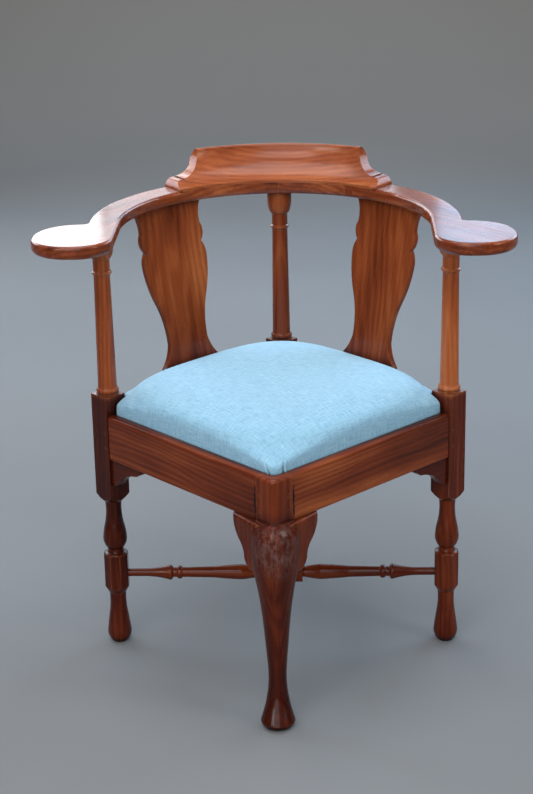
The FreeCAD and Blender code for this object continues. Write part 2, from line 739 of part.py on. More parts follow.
def arm_section(rounded_top):
    """Section of the arm rail, with its distance from the middle of the seat across."""
    inner = ARM_INNER
    outer = ARM_OUTER
    low = S.arm_under_rounding
    section = [
        (inner, ARM_UNDER + low),
        bend((inner, ARM_UNDER), low, low),
        (inner + low, ARM_UNDER),
        (outer - low, ARM_UNDER),
        bend((outer, ARM_UNDER), -low, low),
        (outer, ARM_UNDER + low),
    ]
    if not rounded_top:
        return section + [(outer, S.arm_top), (inner, S.arm_top)]
    high = S.arm_top_rounding
    return section + [
        (outer, S.arm_top - high),
        bend((outer, S.arm_top), -high, -high),
        (outer - high, S.arm_top),
        (inner + high, S.arm_top),
        bend((inner, S.arm_top), high, -high),
        (inner, S.arm_top - high),
    ]


def revolve_arm(body, side, section, start, finish):
    """Turn the arm's section from one angle to another, both from the rear post."""
    sketch = new_sketch(body, "XZ_Plane", [section], turn=90 - side * start)
    feature = body.newObject("PartDesign::Revolution", body.Name + "_turning")
    feature.Profile = sketch
    feature.ReferenceAxis = (sketch, ["V_Axis"])
    feature.Angle = finish - start
    feature.Reversed = side > 0
    document.recompute()


def add_hand_rest(body, side):
    """The flat hand rest in front of the side post, with rounded edges."""
    inner = ARM_INNER
    outer = ARM_OUTER
    reach = outer + S.hand_rest_width
    front = -S.hand_rest_front
    nick = S.hand_rest_nick
    back = -S.hand_rest_back
    back_round = reach - outer - nick
    shoulder = S.hand_rest_shoulder
    outer_round = S.hand_rest_outer_round
    inner_round = S.hand_rest_inner_round
    flat = inner + inner_round + S.hand_rest_flat
    outline = [
        (inner, 0),
        (outer, 0),
        (outer, back),
        bend((outer, back - nick), nick, nick),
        (outer + nick, back - nick),
        bend((reach, back - nick), -back_round, -shoulder),
        (reach, back - nick - shoulder),
        (reach, front + outer_round),
        bend((reach, front), flat - reach, outer_round),
        (flat, front),
        (inner + inner_round, front),
        bend((inner, front), inner_round, inner_round),
        (inner, front + inner_round),
    ]
    if side < 0:
        outline = mirror_loop(outline)
    pad(body, new_sketch(body, "XY_Plane", [outline], ARM_UNDER), S.arm_thickness)
    soften(body, "Fillet", S.arm_top_rounding, lambda edge: is_rim(edge, S.arm_top))
    soften(body, "Fillet", S.arm_under_rounding, lambda edge: is_rim(edge, ARM_UNDER))


def is_rim(edge, height):
    """Whether an edge lies level at a height, away from the joint with the rest of the arm."""
    box = edge.BoundBox
    level = abs(box.ZMin - height.number) < MIN_SLICE and abs(box.ZMax - height.number) < MIN_SLICE
    return level and box.YMin < -MIN_SLICE


def cut_arm_mortises(body, side):
    """Round mortises for the posts, the splat's slot and the screws' holes."""
    radius = S.post_tenon_radius + S.pin_play
    deep = S.post_tenon_length + S.mortise_gap
    for across, along in ((S.post_spacing * side, 0), (0, S.post_spacing)):
        sketch = new_sketch(body, "XY_Plane", [circle_loop(across, along, radius)], ARM_UNDER)
        pocket(body, sketch, deep, backwards=True)
    slot = splat_slot(SPLAT_HEAD, S.splat_top_width, side)
    sketch = new_sketch(body, "XY_Plane", [slot], ARM_UNDER)
    pocket(body, sketch, S.splat_tongue + S.mortise_gap, backwards=True)
    holes = []
    heads = []
    for angle in CREST_SCREW_ANGLES:
        if angle * side > 0:
            across, along = on_arc(SCREW_PLACE, angle)
            holes.append(circle_loop(across, along, S.screw_radius + S.screw_play))
            heads.append(circle_loop(across, along, S.screw_head_radius + S.screw_play))
    pocket(body, new_sketch(body, "XY_Plane", holes, ARM_UNDER), S.arm_thickness, backwards=True)
    pocket(body, new_sketch(body, "XY_Plane", heads, ARM_UNDER), S.screw_head_depth, backwards=True)


def on_arc(radius, angle):
    """A point at a distance from the middle of the seat, at an angle from the rear post to the right."""
    return radius * math.sin(math.radians(angle)), radius * math.cos(math.radians(angle))


def splat_slot(place, width, side):
    """Plan of the slot for a splat's tongue, on the axes of the whole chair."""
    half = S.splat_tongue_thickness / 2 + S.mortise_gap
    reach = width / 2 - S.splat_tongue_margin + S.mortise_gap
    corners = rectangle(place - half, -reach, place + half, reach)
    return [((u - v) * HALF_ROOT * side, (u + v) * HALF_ROOT) for u, v in corners]


def cut_plug_hole(body):
    """The hole for the plug that shows on the inner edge of the arm."""
    middle = ARM_UNDER + S.arm_thickness / 2
    circle = circle_loop(0, middle, S.plug_radius + S.pin_play)
    sketch = new_sketch(body, "XZ_Plane", [circle], turn=-PLUG_ANGLE)
    pocket(body, sketch, ARM_INNER + S.plug_length)


# Crest
def crest_rail():
    """The raised rail on the arms: scooped in front, its ends cut to a cove and a bead."""
    body = new_body("crest_rail")
    sketch = new_sketch(body, "XZ_Plane", [crest_section()], turn=90)
    feature = body.newObject("PartDesign::Revolution", "crest_rail_turning")
    feature.Profile = sketch
    feature.ReferenceAxis = (sketch, ["V_Axis"])
    feature.Angle = CREST_SWEEP_ANGLE * 2
    feature.Midplane = True
    document.recompute()
    for side in (-1, 1):
        waste = crest_end() if side > 0 else mirror_loop(crest_end())
        sketch = new_sketch(body, "XZ_Plane", [waste], turn=-side * CREST_END_ANGLE)
        pocket(body, sketch, (ARM_OUTER + S.crest_lean) * 2, both_ways=True)
    holes = [circle_loop(*on_arc(SCREW_PLACE, angle), S.screw_radius + S.screw_play)
             for angle in CREST_SCREW_ANGLES]
    deep = S.screw_length - S.arm_thickness + S.mortise_gap
    pocket(body, new_sketch(body, "XY_Plane", holes, S.arm_top), deep, backwards=True)
    return body


def crest_section():
    """Section of the crest, with its distance from the middle of the seat across."""
    inner = ARM_INNER
    outer = ARM_OUTER
    front = inner + S.crest_lean
    back = front + S.crest_top_depth
    drop = S.crest_back_drop
    return [
        (inner, S.arm_top),
        (outer, S.arm_top),
        Via((outer + back) / 2 - 4, S.arm_top + (S.crest_height - drop) * 0.6),
        (back, CREST_TOP - drop),
        Via(back - S.crest_top_depth * 0.22, CREST_TOP - drop * 0.34),
        (front + 5, CREST_TOP),
        Via(front + 1.2, CREST_TOP - 1.2),
        (front, CREST_TOP - 4.5),
        Via(inner + S.crest_lean * 0.62, S.arm_top + S.crest_height * 0.35),
        (inner, S.arm_top + 4),
    ]


def crest_end():
    """The wood cut away at the crest's right end: beyond a cove, a small step and a bead."""
    top = -S.crest_top_cutback
    bead = S.crest_bead_reach
    high = S.arm_top + S.crest_bead_height
    return [
        (top, CREST_TOP + 5),
        (top, CREST_TOP - 5),
        Via(top + 12, S.arm_top + 28),
        (-3, high + 2.5),
        (1, high + 2.5),
        (1, high),
        Via(bead - 5.5, S.arm_top + 10),
        (bead, S.arm_top),
        (bead, S.arm_top - 1),
        (bead + 80, S.arm_top - 1),
        (bead + 80, CREST_TOP + 5),
    ]


def crest_screws():
    """Headed screws up through the arms, as one group."""
    screws = []
    for angle in CREST_SCREW_ANGLES:
        across, along = on_arc(SCREW_PLACE, angle)
        foot = vector(across, along, ARM_UNDER)
        head = Part.makeCylinder(S.screw_head_radius.number, S.screw_head_depth.number, foot)
        shank = Part.makeCylinder(S.screw_radius.number, S.screw_length.number, foot)
        screws.append(head.fuse(shank))
    shape_part("crest_screws", Part.makeCompound(screws))


def arm_plug():
    """The round plug in the inner edge of the right arm."""
    foot = vector(0, ARM_INNER, ARM_UNDER + S.arm_thickness / 2)
    shape = Part.makeCylinder(S.plug_radius.number, S.plug_length.number, foot, Vector(0, 1, 0))
    shape_part("arm_plug", shape, turned(-PLUG_ANGLE))


# Splats
def splat(name, angle):
    """A shaped splat that leans out from the rear rail to the arm, with a tongue at each end."""
    body = new_body(name, angle)
    half = S.splat_thickness / 2
    thin = S.splat_tongue_thickness / 2
    foot = SPLAT_FOOT
    head = SPLAT_HEAD
    base = S.seat_height
    side_view = [
        (foot - half, base),
        (foot - thin, base),
        (foot - thin, base - S.splat_tongue),
        (foot + thin, base - S.splat_tongue),
        (foot + thin, base),
        (foot + half, base),
        (head + half, ARM_UNDER),
        (head + thin, ARM_UNDER),
        (head + thin, ARM_UNDER + S.splat_tongue),
        (head - thin, ARM_UNDER + S.splat_tongue),
        (head - thin, ARM_UNDER),
        (head - half, ARM_UNDER),
    ]
    pad(body, new_sketch(body, "XZ_Plane", [side_view]), S.splat_top_width, both_ways=True)
    waste = splat_waste()
    sketch = new_sketch(body, "YZ_Plane", [waste, mirror_loop(waste)])
    pocket(body, sketch, (head + S.splat_thickness) * 2, both_ways=True)
    return body


def splat_waste():
    """The wood cut away on one side of a splat, from its foot tongue to its head tongue."""
    foot = S.splat_foot_width / 2
    waist = S.splat_waist_width / 2
    shoulder = S.splat_shoulder_width / 2
    notch = S.splat_notch_width / 2
    top = S.splat_top_width / 2
    base = S.seat_height
    high = SPLAT_HEIGHT
    margin = S.splat_tongue_margin
    far = top + 20
    return [
        (far, base - S.splat_tongue - 1),
        (foot - margin, base - S.splat_tongue - 1),
        (foot - margin, base),
        (foot, base),
        (foot, base + high * 0.11),
        Via(waist + 8, base + high * 0.165),
        (waist + 0.5, base + high * 0.23),
        Via(waist + 2.5, base + high * 0.345),
        (waist + 13, base + high * 0.467),
        Via(shoulder - 4.5, base + high * 0.572),
        (shoulder, base + high * 0.677),
        Via(shoulder - 1.8, base + high * 0.725),
        (notch, base + high * 0.762),
        Via(notch + 6.6, base + high * 0.808),
        (notch + 3, base + high * 0.863),
        Via(notch + 3.6, base + high * 0.925),
        (top, ARM_UNDER),
        (top - margin, ARM_UNDER),
        (top - margin, ARM_UNDER + S.splat_tongue + 1),
        (far, ARM_UNDER + S.splat_tongue + 1),
    ]


def cut_splat_mortise(body):
    """The slot in a rear rail's lip for its splat's foot."""
    half = S.splat_tongue_thickness / 2 + S.mortise_gap
    reach = S.splat_foot_width / 2 - S.splat_tongue_margin + S.mortise_gap
    slot = rectangle(SPLAT_FOOT - half, -reach, SPLAT_FOOT + half, reach)
    pocket(body, new_sketch(body, "XY_Plane", [slot], S.seat_height), S.splat_tongue + S.mortise_gap)


# Brackets
def rail_bracket(name, angle, end):
    """A small shaped bracket under a front rail, against a side post."""
    body = new_body(name, angle)
    face = RAIL_LENGTH / 2
    reach = S.bracket_reach
    low = RAIL_BOTTOM - S.bracket_drop
    outline = [
        (face, RAIL_BOTTOM),
        (face - reach, RAIL_BOTTOM),
        Via(face - reach + 5, RAIL_BOTTOM - 10),
        (face - reach + 17, RAIL_BOTTOM - 15.5),
        Via(face - 28, RAIL_BOTTOM - 29),
        (face - 10, low + 3),
        (face, low),
    ]
    if end < 0:
        outline = mirror_loop(outline)
    sketch = new_sketch(body, "YZ_Plane", [outline], RAIL_OUTSIDE - S.bracket_setback)
    pad(body, sketch, S.bracket_thickness, backwards=True)
    return body


# Draw-bore pins
def rail_pins():
    """Two pins in each joint of the seat rails, as one group."""
    pins = []
    for angle in RAIL_ANGLES.values():
        for end in (-1, 1):
            for height in pin_heights():
                along = (RAIL_LENGTH / 2 + S.pin_setback) * end
                foot = vector(RAIL_OUTSIDE + S.rail_setback - S.pin_length, along, height)
                pin = level_cylinder(S.pin_diameter / 2, S.pin_length, foot)
                pin.Placement = turned(angle) * pin.Placement
                pins.append(pin)
    shape_part("rail_pins", Part.makeCompound(pins))


# Front leg
def leg_section(height, forward, depth, width, power):
    """A closed smooth section, round at a power of 2, with an edge to the front and to each side below that."""
    points = []
    for step in range(SECTION_POINTS):
        turn = 2 * math.pi * step / SECTION_POINTS
        cosine = math.cos(turn)
        sine = math.sin(turn)
        reach = (abs(cosine) ** power + abs(sine) ** power) ** (-1 / power)
        points.append(vector(forward + depth * reach * cosine, width * reach * sine, height))
    curve = Part.BSplineCurve()
    curve.interpolate(Points=points, PeriodicFlag=True)
    return Part.Wire([curve.toShape()])


def cabriole():
    """Pad foot, ankle and knee of the front leg, with the front along its own +X."""
    pad = S.pad_radius
    ridge = S.pad_ridge_height
    forward = S.pad_forward
    ankle = S.ankle_radius
    knee = S.knee_half_width
    deep = S.knee_reach - 7.5
    low = S.ankle_height
    shin = S.stretcher_height
    top = RAIL_BOTTOM
    under = [
        leg_section(0, forward - 1, pad - 8, pad - 8, 2),
        leg_section(ridge * 0.35, forward - 0.5, pad - 3, pad - 3, 2),
        leg_section(ridge, forward, pad, pad, 2),
    ]
    above = [
        leg_section(ridge, forward, pad, pad, 2),
        leg_section(ridge + 5, forward - 0.8, pad - 1.6, pad - 1.6, 2),
        leg_section(ridge + 20, forward - 4.5, pad - 6.3, pad - 6.3, 2),
        leg_section(low * 0.61, forward - 8.5, ankle + 3, ankle + 3, 2),
        leg_section(low * 0.86, 2, ankle + 0.4, ankle + 0.4, 2),
        leg_section(low * 1.05, 1, ankle, ankle, 2),
        leg_section(shin, 0.5, S.shin_radius, S.shin_radius, 1.95),
        leg_section(shin + (top - shin) * 0.4, 3.5, knee * 0.67, knee * 0.68, 1.85),
        leg_section(shin + (top - shin) * 0.6, 6, knee * 0.83, knee * 0.87, 1.75),
        leg_section(top - 58, 7.2, deep - 1, knee - 0.5, 1.7),
        leg_section(top - 32, 7.5, deep, knee, 1.6),
        leg_section(top - 15, 7, deep - 1.8, knee - 1.5, 1.5),
        leg_section(top - 5, 5.5, deep - 5, knee - 5, 1.4),
        leg_section(top + S.knee_rise, 3, deep - 10, knee - 9, 1.35),
    ]
    foot = Part.makeLoft(under, True)
    return foot.fuse(Part.makeLoft(above, True))


def corner_block(low, high, reach_out, radius):
    """An upright square block between the faces of the leg, its outer corner rounded."""
    near = -S.post_width.number / 2
    far = float(reach_out)
    round_off = float(radius)
    bend_back = round_off * (1 - HALF_ROOT)
    corners = [
        Vector(near, near, 0),
        Vector(far, near, 0),
        Vector(far, far - round_off, 0),
        Vector(far - bend_back, far - bend_back, 0),
        Vector(far - round_off, far, 0),
        Vector(near, far, 0),
    ]
    edges = [
        Part.makeLine(corners[0], corners[1]),
        Part.makeLine(corners[1], corners[2]),
        Part.Arc(corners[2], corners[3], corners[4]).toShape(),
        Part.makeLine(corners[4], corners[5]),
        Part.makeLine(corners[5], corners[0]),
    ]
    block = Part.Face(Part.Wire(edges)).extrude(vector(0, 0, high - low))
    block.Placement = Placement(vector(0, 0, low), Rotation(Vector(0, 0, 1), -45))
    return block


def rail_side_box(outward, along, up, side):
    """A box given outward of a rail, along it from the leg's axis, and in height, on the leg's own axes."""
    spread = sorted(float(value) * side for value in along)
    size = [float(outward[1]) - float(outward[0]), spread[1] - spread[0], float(up[1]) - float(up[0])]
    box = Part.makeBox(*size, vector(outward[0], spread[0], up[0]))
    box.Placement = Placement(Vector(0, 0, 0), Rotation(Vector(0, 0, 1), 45 * side))
    return box


def leg_body():
    """The front leg's outside, before its joints are cut."""
    half = S.post_width / 2
    knee = cabriole()
    for side in (-1, 1):
        under_rail = rail_side_box((-60, 60), (half, 90), (RAIL_BOTTOM, RAIL_BOTTOM + 60), side)
        knee = knee.cut(under_rail)
    block = corner_block(RAIL_BOTTOM - 12, S.seat_height, half, S.arris_radius)
    top_edges = [edge for edge in block.Edges if is_outer_top(edge)]
    block = block.makeFillet(S.rail_nosing.number, top_edges)
    return block.fuse(knee).removeSplitter()


def is_outer_top(edge):
    """Whether an edge runs along the front of the leg's top."""
    middle = edge.valueAt((edge.FirstParameter + edge.LastParameter) / 2)
    return abs(edge.BoundBox.ZMin - S.seat_height.number) < MIN_SLICE and middle.x > MIN_SLICE


def front_leg():
    """The cabriole leg, its top rebated and mortised for the two front rails."""
    gap = S.mortise_gap
    half = S.tenon_thickness / 2 + gap
    across = RAIL_MIDDLE - SIDE_REACH
    face = S.post_width / 2
    lip = LIP_INSIDE - SIDE_REACH
    shape = leg_body()
    cutters = [corner_block(REBATE_TOP, S.seat_height + 1, lip, S.slip_corner - S.slip_play)]
    thick = (across - half, across + half)
    deep = (face - TENON_LENGTH - gap, face + 60)
    high = (TENON_BOTTOM - gap, TENON_TOP + gap)
    for side in (-1, 1):
        cutters.append(rail_side_box(thick, deep, high, side))
        for height in pin_heights():
            foot = vector(face - S.pin_length, (face - S.pin_setback) * side, height)
            hole = level_cylinder(S.pin_diameter / 2 + S.pin_play, S.pin_length + 5, foot)
            hole.Placement = turned(45 * side) * hole.Placement
            cutters.append(hole)
    clear = 8
    foot = vector(-S.shin_radius - clear, 0, S.stretcher_height)
    long = S.stretcher_tenon + S.mortise_gap + clear
    cutters.append(level_cylinder(S.stretcher_end_radius + S.pin_play, long, foot))
    for cutter in cutters:
        shape = shape.cut(cutter)
    shape_part("front_leg", shape, LEG_PLACEMENT)


def knee_bracket(name, side):
    """The ear beside the knee, cut to the leg that it is glued to."""
    face = (S.post_width / 2).number
    top = RAIL_BOTTOM.number
    reach = face + S.ear_reach.number
    low = top - S.ear_drop.number
    outline = [
        Vector(0, face - 15, top),
        Vector(0, reach, top),
        Vector(0, reach, top - 12),
        Vector(0, reach - 5, top - 28),
        Vector(0, reach - 17, top - 44),
        Vector(0, reach - 25, top - 56),
        Vector(0, reach - 27, top - 68),
        Vector(0, face + 20, top - 77),
        Vector(0, face + 12, low),
        Vector(0, face - 15, low),
    ]
    edges = [
        Part.makeLine(outline[0], outline[1]),
        Part.makeLine(outline[1], outline[2]),
        Part.Arc(outline[2], outline[3], outline[4]).toShape(),
        Part.Arc(outline[4], outline[5], outline[6]).toShape(),
        Part.Arc(outline[6], outline[7], outline[8]).toShape(),
        Part.makeLine(outline[8], outline[9]),
        Part.makeLine(outline[9], outline[0]),
    ]
    front = (RAIL_OUTSIDE - SIDE_REACH + S.ear_proud).number
    back = front - S.ear_thickness.number
    ear = Part.Face(Part.Wire(edges)).extrude(vector(front + 1, 0, 0)).common(ear_plan(front, back, reach, low))
    curved_front = next(face for face in ear.Faces if is_upright_curve(face))
    rims = [edge for edge in curved_front.Edges if edge.BoundBox.YMax > outline[0].y + MIN_SLICE]
    ear = ear.makeFillet(S.ear_rounding.number, rims)
    if side < 0:
        ear = ear.mirror(Vector(0, 0, 0), Vector(0, 1, 0))
    ear.rotate(Vector(0, 0, 0), Vector(0, 0, 1), 45 * side)
    shape_part(name, ear.cut(leg_body()), LEG_PLACEMENT)


def ear_plan(front, back, reach, low):
    """An upright block whose front face bends back from the knee to the ear's tip."""
    tip = (RAIL_OUTSIDE - SIDE_REACH + S.ear_tip_proud).number
    start, finish = Vector(front, 0, 0), Vector(tip, reach + 1, 0)
    middle = (start + finish) / 2 + Vector(1, 0, 0)
    far, near = Vector(back, reach + 1, 0), Vector(back, 0, 0)
    edges = [Part.Arc(start, middle, finish).toShape(), Part.makeLine(finish, far), Part.makeLine(far, near),
             Part.makeLine(near, start)]
    block = Part.Face(Part.Wire(edges)).extrude(vector(0, 0, RAIL_BOTTOM + 1 - low))
    block.translate(Vector(0, 0, low - 0.5))
    return block


def is_upright_curve(face):
    """Whether a face is part of an upright cylinder."""
    return isinstance(face.Surface, Part.Cylinder) and abs(face.Surface.Axis.z) > HALF_ROOT


# Slip seat, on axes turned so that +X looks to the rear right and +Y to the rear left
def slip_through_rail(name, side):
    """A rail of the slip frame that runs the full length, notched round the posts."""
    body = new_body(name, SLIP_TURN)
    inner = SLIP_REACH - S.slip_rail_width
    reach = SLIP_REACH
    notch = SLIP_NOTCH
    corner = S.slip_corner
    tip = S.slip_notch_corner
    if side > 0:
        outline = [(inner, -reach), (notch - tip, -reach), (notch, -reach + tip), (notch, -notch),
                   (reach - tip, -notch), (reach, -notch + tip)]
    else:
        outline = [
            (inner, -reach),
            (reach - corner, -reach),
            bend((reach, -reach), -corner, corner),
            (reach, -reach + corner),
        ]
    outline += [(reach, notch - tip), (reach - tip, notch), (notch, notch), (notch, reach - tip),
                (notch - tip, reach), (inner, reach)]
    if side < 0:
        outline = mirror_loop(outline)
    pad(body, new_sketch(body, "XY_Plane", [outline], SLIP_LOW), S.slip_rail_thickness)
    gap = S.mortise_gap
    half = S.slip_tenon_thickness / 2 + gap
    mortises = [rectangle(low - gap, SLIP_MIDDLE - half, high + gap, SLIP_MIDDLE + half)
                for low, high in slip_tenon_places()]
    sketch = new_sketch(body, "YZ_Plane", mortises, inner * side)
    pocket(body, sketch, S.slip_tenon + gap, backwards=side > 0)
    pegs = [circle_loop((inner + S.slip_tenon / 2) * side, place, S.peg_radius + S.pin_play)
            for place in slip_peg_places()]
    pocket(body, new_sketch(body, "XY_Plane", pegs, SLIP_TOP), S.slip_rail_thickness)
    return body


def slip_cross_rail(name, side):
    """A rail of the slip frame that fits between the other two, with a tenon at each end."""
    body = new_body(name, SLIP_TURN)
    inner = SLIP_REACH - S.slip_rail_width
    low, high = sorted([inner * side, SLIP_REACH * side], key=float)
    section = rectangle(low, SLIP_LOW, high, SLIP_TOP)
    pad(body, new_sketch(body, "YZ_Plane", [section]), inner * 2, both_ways=True)
    half = S.slip_tenon_thickness / 2
    start, finish = slip_tenon_places()[(side + 1) // 2]
    tenon = rectangle(start, SLIP_MIDDLE - half, finish, SLIP_MIDDLE + half)
    pad(body, new_sketch(body, "YZ_Plane", [tenon]), (inner + S.slip_tenon) * 2, both_ways=True)
    place = slip_peg_places()[(side + 1) // 2]
    pegs = [circle_loop((inner + S.slip_tenon / 2) * end, place, S.peg_radius + S.pin_play)
            for end in (-1, 1)]
    pocket(body, new_sketch(body, "XY_Plane", pegs, SLIP_TOP), S.slip_rail_thickness)
    return body


def slip_tenon_places():
    """Where the tenons of the front and the rear cross rail begin and end, from the middle outwards."""
    near = SLIP_REACH - S.slip_rail_width + S.slip_tenon_margin
    far = near + S.slip_tenon_width
    return [(-far, -near), (near, far)]


def slip_peg_places():
    """Middles of the pegs through those tenons."""
    return [(low + high) / 2 for low, high in slip_tenon_places()]


def slip_pegs():
    """The four pegs of the slip frame, as one group."""
    across = SLIP_REACH - S.slip_rail_width + S.slip_tenon / 2
    pegs = []
    for end in (-1, 1):
        for place in slip_peg_places():
            foot = vector(across * end, place, SLIP_LOW)
            pegs.append(Part.makeCylinder(S.peg_radius.number, S.slip_rail_thickness.number, foot))
    shape_part("slip_pegs", Part.makeCompound(pegs), turned(SLIP_TURN))


def webbing(name, turn, layer):
    """Three strips of webbing side by side, as one group."""
    reach = (SLIP_REACH - S.webbing_margin).number
    width = S.webbing_width.number
    thick = S.webbing_thickness.number
    low = SLIP_TOP.number + thick * layer
    strips = []
    for step in (-1, 0, 1):
        middle = S.webbing_pitch.number * step
        strips.append(Part.makeBox(reach * 2, width, thick, Vector(-reach, middle - width / 2, low)))
    shape_part(name, Part.makeCompound(strips), turned(SLIP_TURN + turn))


def seat_canvas():
    """The cloth that lies over the webbing, notched like the frame."""
    body = new_body("seat_canvas", SLIP_TURN)
    reach = SLIP_REACH - S.webbing_margin / 2
    notch = SLIP_NOTCH - S.webbing_margin / 2
    corner = S.slip_corner
    outline = [(-reach + corner, -reach), (notch, -reach), (notch, -notch), (reach, -notch), (reach, notch),
               (notch, notch), (notch, reach), (-notch, reach), (-notch, notch), (-reach, notch),
               (-reach, -reach + corner), bend((-reach, -reach), corner, corner)]
    pad(body, new_sketch(body, "XY_Plane", [outline], CANVAS_LOW), S.canvas_thickness)
    return body


def seat_bottom_cloth():
    """The square dust cloth under the frame."""
    body = new_body("seat_bottom_cloth", SLIP_TURN)
    square = rectangle(-SLIP_NOTCH, -SLIP_NOTCH, SLIP_NOTCH, SLIP_NOTCH)
    low = SLIP_LOW - S.cover_thickness - S.bottom_cloth_thickness
    pad(body, new_sketch(body, "XY_Plane", [square], low), S.bottom_cloth_thickness)
    return body


def crown_levels(inset):
    """Sections of the upholstery from below upwards: height, reach, notch, corner radius and roundness."""
    full = (SLIP_REACH + S.cover_gap + S.cover_thickness).number - inset
    low = (SLIP_LOW - S.cover_thickness).number + inset
    top = (S.seat_height + S.seat_crown).number - inset
    notch = (SLIP_REACH - SLIP_NOTCH).number
    corner = S.slip_corner.number
    levels = [(low, full, notch, corner, 0)]
    for drop in CROWN_DROPS:
        rise = 1 - drop
        share = (1 - rise ** (1 / CROWN_STEEPNESS)) ** (1 / CROWN_FLATNESS)
        corner_share = corner / full + (CROWN_TOP_CORNER - corner / full) * rise ** CROWN_CORNER_POWER
        fade = CROWN_NOTCH_FADE * full * (1 - share)
        roundness = min(1, (rise / CROWN_ROUND_FROM) ** CROWN_ROUND_POWER)
        levels.append((top - S.seat_crown.number * drop, full * share, notch - fade,
                       full * share * corner_share, roundness))
    tip = full * CROWN_TOP_REACH
    return levels + [(top, tip, notch, tip * CROWN_TOP_CORNER, 1)]


def crown_section(height, reach, notch, corner, roundness):
    """One closed section: a square, notched at three corners, that turns round as the crown rises."""
    notched = notched_corner(reach, notch, corner, roundness)
    corners = []
    for quarter, (points, middles) in enumerate([notched, notched, plain_corner(reach, corner), notched]):
        placement = turned(90 * quarter)
        corners.append(([placement.multVec(point) for point in points],
                        [placement.multVec(middle) for middle in middles]))
    edges = []
    for quarter, (points, middles) in enumerate(corners):
        for index, middle in enumerate(middles):
            edges.append(line_or_arc(points[index], middle, points[index + 1]))
        next_point = corners[(quarter + 1) % 4][0][0]
        edges.append(Part.makeLine(points[-1], next_point))
    wire = Part.Wire(edges)
    wire.translate(Vector(0, 0, height))
    return wire


def plain_corner(reach, radius):
    """Ends and middle of a rounded corner between +X and +Y."""
    near = reach - radius
    slant = near + radius * HALF_ROOT
    return [Vector(reach, near, 0), Vector(near, reach, 0)], [Vector(slant, slant, 0)]


def notched_corner(reach, notch, radius, roundness):
    """Points and arc middles round a notch between +X and +Y, drawn towards a plain rounded corner."""
    tip = S.slip_notch_corner.number
    inner = NOTCH_INNER_ROUNDING
    tip_bulge = tip * (1 - HALF_ROOT)
    inner_bulge = inner * (1 - HALF_ROOT)
    step = reach - notch
    half_way = (reach - tip + step + inner) / 2
    points = [
        (reach, step - tip),
        (reach - tip, step),
        (step + inner, step),
        (step, step + inner),
        (step, reach - tip),
        (step - tip, reach),
    ]
    middles = [
        (reach - tip_bulge, step - tip_bulge),
        (half_way, step),
        (step + inner_bulge, step + inner_bulge),
        (step, half_way),
        (step - tip_bulge, reach - tip_bulge),
    ]
    near = reach - radius

    def on_round(share):
        turn = math.pi / 2 * share
        return near + radius * math.cos(turn), near + radius * math.sin(turn)

    def drawn(point, share):
        start = Vector(*point, 0)
        return start + (Vector(*on_round(share), 0) - start) * roundness

    return ([drawn(point, index / 5) for index, point in enumerate(points)],
            [drawn(point, (index + 0.5) / 5) for index, point in enumerate(middles)])


def line_or_arc(start, middle, finish):
    """A straight edge where the middle is in line with the ends, and otherwise an arc."""
    if middle.distanceToLine(start, finish - start) < 0.001:
        return Part.makeLine(start, finish)
    return Part.Arc(start, middle, finish).toShape()


def crown_solid(inset):
    """The upholstery as one solid, set in all round by a distance."""
    return Part.makeLoft([crown_section(*level) for level in crown_levels(inset)], True, True)


def seat_cover():
    """The blue cloth: a crowned shell, turned under the frame."""
    thickness = S.cover_thickness.number
    open_reach = (SLIP_REACH - S.cover_turn_under).number
    low = (SLIP_LOW - S.cover_thickness).number
    opening = Part.makeBox(open_reach * 2, open_reach * 2, thickness * 3,
                           Vector(-open_reach, -open_reach, low - thickness))
    shell = crown_solid(0).cut(crown_solid(thickness)).cut(opening)
    shape_part("seat_cover", shape_of_one(shell), turned(SLIP_TURN))


def seat_stuffing():
    """The pad between the canvas and the cover."""
    inside = crown_solid((S.cover_thickness + S.cover_gap).number)
    reach = (SLIP_REACH * 2).number
    bottom = (CANVAS_LOW + S.canvas_thickness).number
    below = Part.makeBox(reach * 2, reach * 2, bottom, Vector(-reach, -reach, 0))
    shape_part("seat_stuffing", shape_of_one(inside.cut(below)), turned(SLIP_TURN))


def shape_of_one(shape):
    """The only solid of a boolean's result."""
    if len(shape.Solids) != 1:
        raise RuntimeError(f"expected one solid, found {len(shape.Solids)}")
    return shape.Solids[0]


# The whole chair
LEG_PLACEMENT = turned(FRONT_LEG_ANGLE) * Placement(vector(S.post_spacing, 0, 0), Rotation())
SIDES = {"left": -1, "right": 1}

for place, angle in RAIL_ANGLES.items():
    seat_rail("seat_rail_" + place, angle, place.startswith("rear"))
for place, angle in POST_ANGLES.items():
    leg_post(place + "_leg_post", angle)
front_leg()
rail_pins()
stretcher("stretcher_side_to_side", 0, True)
stretcher("stretcher_front_to_back", 90, False, S.post_spacing - S.shin_radius)
for place, side in SIDES.items():
    knee_bracket("knee_bracket_" + place, side)
    rail_bracket("rail_bracket_" + place, RAIL_ANGLES["front_" + place], side)
    arm("arm_" + place, side)
    splat("splat_" + place, RAIL_ANGLES["rear_" + place])
crest_rail()
crest_screws()
arm_plug()
slip_through_rail("slip_rail_rear_right", 1)
slip_through_rail("slip_rail_front_left", -1)
slip_cross_rail("slip_rail_rear_left", 1)
slip_cross_rail("slip_rail_front_right", -1)
slip_pegs()
webbing("webbing_one_way", 0, 0)
webbing("webbing_other_way", 90, 1)
seat_canvas()
seat_stuffing()
seat_cover()
seat_bottom_cloth()
document.recompute()

